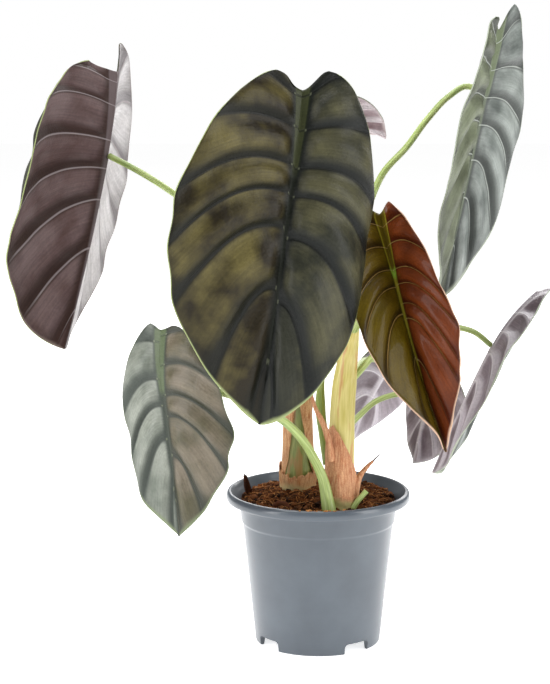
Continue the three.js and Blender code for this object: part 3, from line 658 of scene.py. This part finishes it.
stems = {
    "left": {"line": ((-13, 14, 80), (-13, 13, 110), (-13, 9, 145), (-12, 1, 180), (-10, -6, 205)),
             "radii": (11, 10.6, 9.2, 8.2, 5.8, 3.4), "skin": "stemGreen", "slot": "green_stem"},
    "right": {"line": ((13, -30, 80), (13, -29, 100), (14, -27, 133), (16, -21, 174), (20, -14, 200),
                       (24, -10, 221)),
              "radii": (9.8, 9.6, 8.6, 7.8, 7.4, 5.6, 2.6), "skin": "stemYellow", "slot": "pale_stem"},
}


def stem(name, look):
    bm = bmesh.new()
    stalk(bm, look["line"], look["radii"], 40, 70,
          lambda share, angle: 1 + 0.03 * math.cos(2 * angle + 3 * share)
          + 0.05 * wander(math.cos(angle) * 1.4, math.sin(angle) * 1.4, share * 2.2))
    finishPiece(name, bm, [stalkSkins[look["skin"]]], [name])


for name, look in stems.items():
    stem(name + "_stem", look)


# Where a stem's middle is at a height, and how thick it is there.
def stemAt(look, z):
    spine, _ = smoothLine(look["line"], 61)
    for i in range(60):
        if spine[i + 1].z >= z or i == 59:
            share = (z - spine[i].z) / (spine[i + 1].z - spine[i].z)
            return spine[i].lerp(spine[i + 1], share), spread(look["radii"], (i + share) / 60)


# Dry papery sheath: dead leaf base, thin and fibrous, orange brown with torn edges.
# It gives the eye long fine fibres with a faint net between them.
def drySheath(name, look):
    made, tree, shader = newMaterial(name, 0.72, 0.0, 0.2, 0.3)
    spot = addNode(tree, "TexCoord", out=3)
    drawn = addNode(tree, "VectorMath", {"operation": "MULTIPLY"},
                    {0: spot, 1: (1 / (0.9 * mm), 1 / (0.9 * mm), 1 / (9 * mm))})
    fibre = addNode(tree, "TexNoise", inputs={"Vector": drawn, "Scale": 1.0, "Detail": 5.0})
    net = addNode(tree, "TexVoronoi", {"feature": "DISTANCE_TO_EDGE"},
                  {"Vector": spot, "Scale": 1 / (1.8 * mm)})
    patch = addNode(tree, "TexNoise", inputs={"Vector": spot, "Scale": 1 / (9 * mm), "Detail": 4.0})
    patch = addNode(tree, "MapRange", inputs={0: patch, 1: 0.36, 2: 0.64})
    mix = addNode(tree, "MapRange", inputs={0: fibre, 1: 0.3, 2: 0.7})
    dark = addNode(tree, "Mix", inColour, {0: patch, 6: linear(look["dark"]), 7: linear(look["body"])}, 2)
    colour = addNode(tree, "Mix", inColour, {0: mix, 6: dark, 7: linear(look["light"])}, 2)
    mesh = addNode(tree, "MapRange", inputs={0: net, 1: 0.0, 2: 0.12, 3: 0.35, 4: 0.0})
    colour = addNode(tree, "Mix", inColour, {0: mesh, 6: colour, 7: linear(look["dark"])}, 2)
    rise = addNode(tree, "SeparateXYZ", inputs={0: spot}).node.outputs[2]
    rise = addNode(tree, "Math", {"operation": "MULTIPLY_ADD"}, {0: patch, 1: 5 * mm, 2: rise})
    foot = addNode(tree, "MapRange", eased, {0: rise, 1: 109 * mm, 2: 101 * mm, 4: 0.75})
    colour = addNode(tree, "Mix", inColour, {0: foot, 6: colour, 7: linear(look["foot"])}, 2)
    tree.links.new(colour, shader.inputs["Base Color"])
    height = addNode(tree, "Math", {"operation": "MULTIPLY_ADD"}, {0: fibre, 1: 2.0, 2: net})
    bump = addNode(tree, "Bump", inputs={"Height": height, "Distance": 0.4 * mm, "Strength": 0.7})
    tree.links.new(bump, shader.inputs["Normal"])
    return made


sheathSkins = {
    "sheathOrange": drySheath("sheathOrange",
                              {"dark": "#a25b3a", "body": "#bf7c54", "light": "#dcae84", "foot": "#aeb072"}),
    "sheathBrown": drySheath("sheathBrown",
                             {"dark": "#9a5a34", "body": "#bd8250", "light": "#dcb484", "foot": "#c6bd8a"}),
}

# Each sheath is one strip wrapped round a stem: turn is where it starts and how far it goes round,
# in degrees from the right; foot and top are heights along the strip, evenly spread.
sheaths = {
    "left_outer_sheath": {
        "stem": "left", "turn": (150, 375), "lift": (0.7, 1.0), "skin": "sheathBrown",
        "slot": "papery_sheath",
        "foot": (104, 103, 103, 104, 118, 152, 158, 140, 118, 108, 103, 104),
        "top": (181, 180, 182, 183, 184, 185, 186, 184, 183, 181, 180, 180), "torn": 1.8,
        "cells": (90, 40)},
    "left_base_collar": {
        "stem": "left", "turn": (140, 420), "lift": (1.2, 2.2), "skin": "sheathBrown",
        "slot": "papery_sheath", "foot": (94, 94, 94, 94, 94, 94),
        "top": (117, 111, 109, 110, 113, 116), "torn": 3.4, "cells": (120, 16)},
    "right_pointed_sheath": {
        "stem": "right", "turn": (176, 395), "lift": (0.8, 1.4), "skin": "sheathOrange",
        "slot": "papery_sheath", "foot": (100, 100, 99, 99, 99, 99, 99, 100, 100),
        "top": (138, 147, 150, 145, 137, 128, 119, 111, 106), "torn": 0.8, "cells": (90, 44),
        "point": ((7.6, -37.4, 128), (6, -37.2, 140), (3, -37, 150), (-3, -36.4, 163), (-7, -35, 178)),
        "pointRadii": (3.0, 2.6, 2.2, 1.3, 0.45)},
    "right_base_collar": {
        "stem": "right", "turn": (150, 420), "lift": (1.0, 1.8), "skin": "sheathOrange",
        "slot": "papery_sheath", "foot": (94, 94, 94, 94), "top": (103, 105, 104, 103), "torn": 1.2,
        "cells": (90, 12)},
}


def sheath(name, look):
    owner = stems[look["stem"]]
    spine = [stemAt(owner, z) for z in range(90, 206)]
    bm = bmesh.new()
    bmesh.ops.create_grid(bm, x_segments=look["cells"][0], y_segments=look["cells"][1], size=0.5)
    start, span = math.radians(look["turn"][0]), math.radians(look["turn"][1] - look["turn"][0])
    seed = len(name) * 1.7
    for vert in bm.verts:
        u, v = vert.co.x + 0.5, vert.co.y + 0.5
        angle = start + span * u
        tear = look["torn"] * (wander(u * 26, seed, 0) + 0.6 * wander(u * 61, seed, 3))
        low = spread(look["foot"], u)
        high = spread(look["top"], u) + tear
        z = low + (high - low) * v
        at = min(max(z - 90, 0), 114.99)
        middle = spine[int(at)][0].lerp(spine[int(at) + 1][0], at % 1)
        radius = spine[int(at)][1] + (spine[int(at) + 1][1] - spine[int(at)][1]) * (at % 1)
        crease = 0.5 * wander(u * 9, v * 3, seed) + 0.25 * wander(u * 30, v * 8, seed)
        radius += look["lift"][0] + (look["lift"][1] - look["lift"][0]) * v * v + crease
        vert.co = Vector((middle.x + radius * math.cos(angle), middle.y + radius * math.sin(angle), z)) * mm
    if "point" in look:                                        # the long dry point that leans away
        stalk(bm, look["point"], look["pointRadii"], 10, 24,
              lambda share, angle: 1 - 0.55 * abs(math.sin(angle)) + 0.1 * wander(share * 8, angle, 5))
    piece = finishPiece(name, bm, [sheathSkins[look["skin"]]], [name])
    thicken(piece, 0.35)


for name, look in sheaths.items():
    sheath(name, look)
print("stems and sheaths ready")

smallShoots = {
    "young_leaf_sheath": {
        "line": ((5, -21, 122), (3, -19, 140), (1, -17, 158), (2, -18, 178), (4, -19, 186)),
        "radii": (2.4, 3.0, 3.2, 3.4, 2.2, 0.9), "skin": "sheathGreen", "slot": "green_stem"},
    "cut_petiole_stub": {
        "line": ((19, -37, 88), (22, -37, 98), (30, -35, 108)), "radii": (1.9, 1.8, 1.7),
        "skin": "petioleGreen", "slot": "petiole"},
}
for name, look in smallShoots.items():
    shoot = bmesh.new()
    stalk(shoot, look["line"], look["radii"], 16, 36,
          lambda share, angle: 1 + 0.06 * math.cos(2 * angle)
          + 0.06 * wander(share * 5, math.cos(angle), angle))
    finishPiece(name, shoot, [stalkSkins[look["skin"]]], [name])


# The dry spike: a rolled orange sheath with the dead leaf tip as a dark needle.
def drySpike():
    bm = bmesh.new()
    stalk(bm, ((20, -28, 92), (23, -28, 108), (28, -25, 118), (33, -22, 123), (34.5, -21, 124)),
          (4.4, 3.8, 2.8, 1.6, 0.9), 16, 40,
          lambda share, angle: 1 + 0.12 * math.sin(angle + 9 * share) + 0.12 * wander(share * 7, angle, 2))
    soft = len(bm.faces)
    stalk(bm, ((28, -25, 117), (33, -22, 122.5), (39, -18, 128)), (1.4, 0.9, 0.7, 0.5, 0.35), 8, 24)
    bm.faces.ensure_lookup_table()
    for part in bm.faces[soft:]:
        part.material_index = 1
    finishPiece("dry_sheath_spike", bm, [sheathSkins["sheathOrange"], sheathSkins["sheathNeedle"]],
                ["dry_sheath_spike"])


sheathSkins["sheathNeedle"] = drySheath("sheathNeedle",
                                        {"dark": "#2f2826", "body": "#4a3f3c", "light": "#766a66",
                                         "foot": "#4a3f3c"})
drySpike()


# The nursery pot: thin satin polypropylene, injection moulded, blue-grey.

pot = {
    "height": 100.5, "baseRadius": 40.9, "taper": 0.105, "wall": 1.3,
    "step": (79, 2, 0.9), "lip": (93, 60, 56.2), "floor": 8.2, "underFloor": 6.8, "pad": (17, 1.8, 1.4),
    "footWidth": 2.7, "feet": 4, "firstFoot": -7.6, "notch": (19, 6.8, 2.5), "drain": (4.2, 29), "steps": 144,
}


def potRadius(z):
    start, height, out = pot["step"]
    return pot["baseRadius"] + pot["taper"] * z + out * smooth(start, start + height, z)


# Satin moulded polypropylene: faint rings from the mould, fine scuffs and a few specks of soil.
def potPlastic():
    made, tree, shader = newMaterial("satinPolypropylene", 0.36, 0.45, 0.2)
    spot = addNode(tree, "TexCoord", out=3)
    cloud = addNode(tree, "TexNoise", inputs={"Vector": spot, "Scale": 1 / (30 * mm), "Detail": 4.0})
    mix = addNode(tree, "MapRange", inputs={0: cloud, 1: 0.35, 2: 0.65})
    colour = addNode(tree, "Mix", inColour, {0: mix, 6: linear("#474f58"), 7: linear("#505962")}, 2)
    speck = addNode(tree, "TexVoronoi", inputs={"Vector": spot, "Scale": 1 / (9 * mm), "Randomness": 1.0})
    blot = addNode(tree, "TexNoise", inputs={"Vector": spot, "Scale": 1 / (26 * mm), "Detail": 2.0})
    near = addNode(tree, "MapRange", inputs={0: speck, 1: 0.075, 2: 0.05})
    some = addNode(tree, "MapRange", inputs={0: blot, 1: 0.54, 2: 0.58})
    dirt = addNode(tree, "Math", {"operation": "MULTIPLY"}, {0: near, 1: some})
    colour = addNode(tree, "Mix", inColour, {0: dirt, 6: colour, 7: linear("#4d4a48")}, 2)
    tree.links.new(colour, shader.inputs["Base Color"])
    # mould rings about 2 mm apart and an orange-peel grain
    stretched = addNode(tree, "VectorMath", {"operation": "MULTIPLY"},
                        {0: spot, 1: (1 / (60 * mm), 1 / (60 * mm), 1 / (2.2 * mm))})
    rings = addNode(tree, "TexNoise", inputs={"Vector": stretched, "Scale": 1.0, "Detail": 3.0})
    grain = addNode(tree, "TexNoise", inputs={"Vector": spot, "Scale": 1 / (0.8 * mm)})
    height = addNode(tree, "Math", {"operation": "MULTIPLY_ADD"}, {0: grain, 1: 0.5, 2: rings})
    bump = addNode(tree, "Bump", inputs={"Height": height, "Distance": 0.12 * mm, "Strength": 0.5})
    tree.links.new(bump, shader.inputs["Normal"])
    rough = addNode(tree, "MapRange", inputs={0: cloud, 1: 0.3, 2: 0.7, 3: 0.32, 4: 0.42})
    tree.links.new(rough, shader.inputs["Roughness"])
    return made


def potBody():
    height = pot["height"]
    lipFoot, lipOut, lipIn = pot["lip"]
    padRadius, padSlope, padThick = pot["pad"]
    wall = pot["wall"]
    footInner = pot["baseRadius"] - pot["footWidth"]
    under = pot["underFloor"]
    outline = [(0.001, 0), (padRadius - 0.6, 0), (padRadius, 0.5), (padRadius + padSlope, under),
               (footInner - 1.6, under), (footInner - 0.9, under - 0.8), (footInner, 0.4),
               (footInner + 0.5, 0), (pot["baseRadius"] - 0.6, 0), (pot["baseRadius"] - 0.1, 0.3)]
    outline += [(potRadius(z), z) for z in (0.8, 3, 3.6, 4.2, 7.6, 8.2, 8.8, 30, 55, 78.6, 79, 79.4,
                                            80, 80.6, 81, 81.5, 88)]
    outline += [(potRadius(91), 91), (potRadius(92.2) + 0.3, 92.2), (potRadius(93) + 1.2, 93),
                (lipOut - 4.5, 93.7), (lipOut - 2, 93.9), (lipOut - 0.8, 94.2), (lipOut - 0.2, 94.9),
                (lipOut, 95.8), (lipOut, 97.4), (lipOut - 0.25, 98.6), (lipOut - 0.9, 99.7),
                (lipOut - 1.9, height - 0.15), (lipOut - 2.9, height - 0.2), (lipIn + 0.3, height - 0.8),
                (lipIn - 0.6, height - 2)]
    outline += [(lipIn - 1.7, height - 4), (potRadius(lipFoot) - wall, lipFoot - 1),
                (potRadius(81) - wall, 81), (potRadius(79) - wall, 79), (potRadius(10) - wall, 10),
                (potRadius(8) - wall - 1, pot["floor"]),
                (padRadius + padSlope + 0.2, pot["floor"]), (padRadius + 0.2, padThick), (0.001, padThick)]
    bm = bmesh.new()
    verts = [bm.verts.new((r * mm, 0, z * mm)) for r, z in outline]
    edges = [bm.edges.new(pair) for pair in zip(verts, verts[1:])]
    bmesh.ops.spin(bm, geom=verts + edges, axis=(0, 0, 1), cent=(0, 0, 0), angle=math.tau,
                   steps=pot["steps"], use_merge=True)
    bmesh.ops.remove_doubles(bm, verts=bm.verts, dist=0.01 * mm)
    bmesh.ops.recalc_face_normals(bm, faces=bm.faces)
    piece = finishPiece("pot", bm, [potPlastic()], ["pot"])
    width, high, corner = pot["notch"]
    bore, distance = pot["drain"]
    cutters = bmesh.new()
    for k in range(pot["feet"]):
        turn = Matrix.Rotation(math.radians(pot["firstFoot"] - 90 + (k + 0.5) * 360 / pot["feet"]), 4, "Z")
        gap = bmesh.ops.create_cube(cutters, size=1)["verts"]
        bmesh.ops.transform(cutters, verts=gap,
                            matrix=Matrix.Diagonal((14 * mm, width * mm, 2 * high * mm, 1)))
        corners = {e for v in gap for e in v.link_edges
                   if all(u.co.z > 0 for u in e.verts) and abs(e.verts[0].co.x - e.verts[1].co.x) > mm}
        bevelled = bmesh.ops.bevel(cutters, geom=list(corners), offset=corner * mm, segments=5, profile=0.5,
                                   affect="EDGES", material=-1)["verts"]
        block = {v for v in gap if v.is_valid} | set(bevelled)
        bmesh.ops.transform(cutters, verts=list(block),
                            matrix=turn @ Matrix.Translation(((pot["baseRadius"] - 2) * mm, 0, 0)))
        hole = bmesh.ops.create_cone(cutters, cap_ends=True, segments=32, radius1=bore * mm,
                                     radius2=bore * mm, depth=6 * mm)["verts"]
        bmesh.ops.transform(cutters, verts=hole, matrix=turn @ Matrix.Translation(
            (distance * mm, 0, (pot["floor"] - 1) * mm)))
    bmesh.ops.recalc_face_normals(cutters, faces=cutters.faces)
    tool = bpy.data.meshes.new("notchCutter")
    cutters.to_mesh(tool)
    cutters.free()
    cutter = bpy.data.objects.new("notchCutter", tool)
    bpy.context.collection.objects.link(cutter)
    cut = piece.modifiers.new("notches", "BOOLEAN")
    cut.operation = "DIFFERENCE"
    cut.solver = "EXACT"
    cut.object = cutter
    graph = bpy.context.evaluated_depsgraph_get()
    shaped = bpy.data.meshes.new_from_object(piece.evaluated_get(graph))
    piece.modifiers.clear()
    piece.data = shaped
    shaped.name = "pot"
    shaped.shade_smooth()
    shaped.set_sharp_from_angle(angle=math.radians(38))
    bpy.data.objects.remove(cutter)


potBody()
print("pot ready")


# Potting soil: damp peat with reddish coir, a lumpy bed with crumbs, fibres and split bark on it.

soil = {"edge": 95.5, "top": 99.5, "clear": 0.4, "cells": 110, "foot": 2, "settle": 0.6,
        "lumps": ((1.5, 11, 4), (1.0, 4.5, 8), (0.5, 1.9, 2)),      # height, width and seed of each roughness
        "crumbs": 1500, "crumbReach": 48.5, "smallShare": 0.72, "smallCrumb": (0.5, 1.2),
        "bigCrumb": (1.2, 2.6), "fibres": 620, "fibreReach": 47.5, "fibreWall": (48.8, 48),
        "fibreLength": (4, 13), "fibreGirth": (0.12, 0.3),
        "chips": 34, "chipReach": 43, "rimCrumbs": 16, "rimCrumb": (0.4, 1.0), "rimSpread": (2, 9)}

soilReach = potRadius(soil["edge"]) - pot["wall"] - soil["clear"]


def soilHeight(x, y):
    base = soil["top"] - (soil["top"] - soil["edge"]) * (math.hypot(x, y) / soilReach) ** 2
    lumps = sum(height * wander(x / width, y / width, seed) for height, width, seed in soil["lumps"])
    return min(base - soil["settle"] + lumps, pot["height"] + 1)


# Damp earth: dull and broken, nearly black in the hollows and rusty where fibre shows.
def earth(name, look):
    made, tree, shader = newMaterial(name, 0.9, 0.0, 0.2, 0.1)
    spot = addNode(tree, "TexCoord", out=3)
    tint = addNode(tree, "Attribute", {"attribute_name": "tint"}, out=2)
    fine = addNode(tree, "TexNoise", inputs={"Vector": spot, "Scale": 1 / (1.1 * mm), "Detail": 5.0})
    broad = addNode(tree, "TexNoise", inputs={"Vector": spot, "Scale": 1 / (9 * mm), "Detail": 3.0})
    share = addNode(tree, "Math", {"operation": "MULTIPLY_ADD"}, {0: tint, 1: 0.9, 2: -0.45})
    share = addNode(tree, "Math", {"operation": "ADD"}, {0: fine, 1: share})
    mix = addNode(tree, "MapRange", inputs={0: share, 1: 0.32, 2: 0.72})
    colour = addNode(tree, "Mix", inColour, {0: mix, 6: linear(look["dark"]), 7: linear(look["light"])}, 2)
    warm = addNode(tree, "MapRange", inputs={0: broad, 1: 0.48, 2: 0.66, 4: look["rustShow"]})
    colour = addNode(tree, "Mix", inColour, {0: warm, 6: colour, 7: linear(look["rust"])}, 2)
    tree.links.new(colour, shader.inputs["Base Color"])
    bump = addNode(tree, "Bump", inputs={"Height": fine, "Distance": 0.8 * mm, "Strength": 0.9})
    tree.links.new(bump, shader.inputs["Normal"])
    return made


earthSkins = {
    "peat": earth("peat", {"dark": "#24140b", "light": "#5e3a20", "rust": "#7f4c28", "rustShow": 0.55}),
    "coir": earth("coir", {"dark": "#744220", "light": "#b98350", "rust": "#a5602c", "rustShow": 0.4}),
    "barkChip": earth("barkChip",
                      {"dark": "#20120b", "light": "#4b2c1c", "rust": "#63351f", "rustShow": 0.5}),
}


def soilBed():
    bm = bmesh.new()
    tint = bm.verts.layers.float.new("tint")
    bmesh.ops.create_grid(bm, x_segments=soil["cells"], y_segments=soil["cells"], size=1)
    for vert in bm.verts:                                      # the square grid is rounded into a disc
        x, y = vert.co.x, vert.co.y
        vert.co = (soilReach * x * math.sqrt(1 - y * y / 2), soilReach * y * math.sqrt(1 - x * x / 2), 0)
        vert.co.z = soilHeight(vert.co.x, vert.co.y)
        vert.co *= mm
        vert[tint] = 0.45
    rim = bmesh.ops.extrude_edge_only(bm, edges=[e for e in bm.edges if e.is_boundary])["geom"]
    foot = pot["floor"] + soil["foot"]
    for vert in (part for part in rim if isinstance(part, bmesh.types.BMVert)):
        vert.co.z = foot * mm
        vert.co.xy *= (potRadius(foot) - pot["wall"] - 1.5) / soilReach
    bmesh.ops.holes_fill(bm, edges=[e for e in bm.edges if e.is_boundary])
    finishPiece("potting_soil", bm, [earthSkins["peat"]], ["potting_soil"])


def freeSpot(reach):
    while True:
        x, y = dice.uniform(-reach, reach), dice.uniform(-reach, reach)
        if math.hypot(x, y) < reach:
            return x, y


def soilCrumbs():
    bm = bmesh.new()
    tint = bm.verts.layers.float.new("tint")
    for _ in range(soil["crumbs"]):
        x, y = freeSpot(soil["crumbReach"])
        size = dice.uniform(*soil["smallCrumb" if dice.random() < soil["smallShare"] else "bigCrumb"])
        angle = dice.uniform(0, 6.28)
        turn = Matrix.Rotation(angle, 4, Vector((dice.random(), dice.random(), 0.3)).normalized())
        squash = Matrix.Diagonal((size * mm, size * mm * dice.uniform(0.6, 1),
                                  size * mm * dice.uniform(0.5, 0.9), 1))
        move = Matrix.Translation(Vector((x, y, soilHeight(x, y) + size * 0.25)) * mm)
        lump = bmesh.ops.create_icosphere(bm, subdivisions=1, radius=1, matrix=move @ turn @ squash)["verts"]
        shade = dice.random()
        for vert in lump:
            jolt = Vector((dice.uniform(-1, 1), dice.uniform(-1, 1), dice.uniform(-1, 1)))
            vert.co += jolt * (0.22 * size * mm)
            vert[tint] = shade
    finishPiece("soil_crumbs", bm, [earthSkins["peat"]])


def coirFibres():
    bm = bmesh.new()
    for _ in range(soil["fibres"]):
        x, y = freeSpot(soil["fibreReach"])
        heading = dice.uniform(0, math.tau)
        length = dice.uniform(*soil["fibreLength"])
        line = []
        for k in range(4):
            here = (x + math.cos(heading) * length * k / 3, y + math.sin(heading) * length * k / 3)
            heading += dice.uniform(-0.5, 0.5)
            far = math.hypot(*here)
            if far > soil["fibreWall"][0]:                     # turned back at the pot's wall
                here = (here[0] * soil["fibreWall"][1] / far, here[1] * soil["fibreWall"][1] / far)
            rise = dice.uniform(0.1, 1.8) if k in (1, 2) else dice.uniform(-0.3, 0.8)
            line.append((here[0], here[1], soilHeight(*here) + rise + 0.4))
        girth = dice.uniform(*soil["fibreGirth"])
        stalk(bm, line, (girth, girth, girth * 0.6), 4, 6, tint=dice.random())
    finishPiece("coir_fibres", bm, [earthSkins["coir"]])


# A split bark chip: a bevelled block that is narrowed by given amounts.
def barkChip(bm, size, at, turn, seed):
    tint = bm.verts.layers.float.get("tint") or bm.verts.layers.float.new("tint")
    first = len(bm.verts)
    bmesh.ops.create_cube(bm, size=1)
    bm.verts.ensure_lookup_table()
    fresh = bm.verts[first:]
    edges = list({e for v in fresh for e in v.link_edges})
    bmesh.ops.subdivide_edges(bm, edges=edges, cuts=3, use_grid_fill=True)
    bm.verts.ensure_lookup_table()
    turned = (Matrix.Rotation(turn[2], 3, "Z") @ Matrix.Rotation(turn[1], 3, "Y")
              @ Matrix.Rotation(turn[0], 3, "X"))
    for vert in bm.verts[first:]:
        flat = vert.co.copy()
        rounding = 1 - 0.16 * (4 * (flat.x ** 2 + flat.y ** 2 + flat.z ** 2) - 1)
        rough = 1 + 0.22 * wander(flat.x * 3 + seed, flat.y * 3, flat.z * 3)
        narrow = 1 - 0.45 * (flat.z + 0.5)
        local = Vector((flat.x * size[0] * narrow, flat.y * size[1] * narrow,
                        flat.z * size[2])) * rounding * rough
        vert.co = (turned @ local + Vector(at)) * mm
        vert[tint] = (seed * 7.3) % 1


barkChips = {
    "bark_chip_rim": {"size": (5, 3.6, 17), "at": (-46.5, 6, 101.5), "turn": (0.1, -0.28, 0.5)},
    "bark_chip_front": {"size": (13, 7, 5), "at": (-24, -33, 98.3), "turn": (0.15, 0.1, -0.3)},
}


def barkPieces():
    for k, (name, look) in enumerate(barkChips.items()):
        bm = bmesh.new()
        barkChip(bm, look["size"], look["at"], look["turn"], k + 1.3)
        finishPiece(name, bm, [earthSkins["barkChip"]], [name])
    bm = bmesh.new()
    for k in range(soil["chips"]):
        x, y = freeSpot(soil["chipReach"])
        size = (dice.uniform(3, 8), dice.uniform(2, 4.5), dice.uniform(1.4, 3))
        turn = (dice.uniform(-0.5, 0.5), dice.uniform(-0.4, 0.4), dice.uniform(0, math.tau))
        barkChip(bm, size, (x, y, soilHeight(x, y) + 0.6), turn, k * 0.37)
    finishPiece("small_bark_chips", bm, [earthSkins["barkChip"]])


# A few crumbs of earth and torn sheath that were spilt on the front of the rim.
def rimCrumbs():
    bm = bmesh.new()
    tint = bm.verts.layers.float.new("tint")
    for k in range(soil["rimCrumbs"]):
        angle = math.radians(-90 + dice.gauss(*soil["rimSpread"]))
        radius = pot["lip"][1] - 2.4 + dice.uniform(-1.2, 1.0)
        size = dice.uniform(*soil["rimCrumb"]) * mm
        at = Vector((radius * math.cos(angle), radius * math.sin(angle), pot["height"] + 0.1)) * mm
        shape = Matrix.Translation(at) @ Matrix.Rotation(angle * 7 + k, 4, "Z") @ Matrix.Diagonal(
            (size * 1.5, size, size * 0.6, 1))
        fresh = bmesh.ops.create_icosphere(bm, subdivisions=1, radius=1, matrix=shape)["verts"]
        for vert in fresh:
            vert[tint] = 0.4 + 0.5 * dice.random()
    finishPiece("rim_crumbs", bm, [earthSkins["coir"]])


soilBed()
soilCrumbs()
coirFibres()
barkPieces()
rimCrumbs()
print("soil ready")
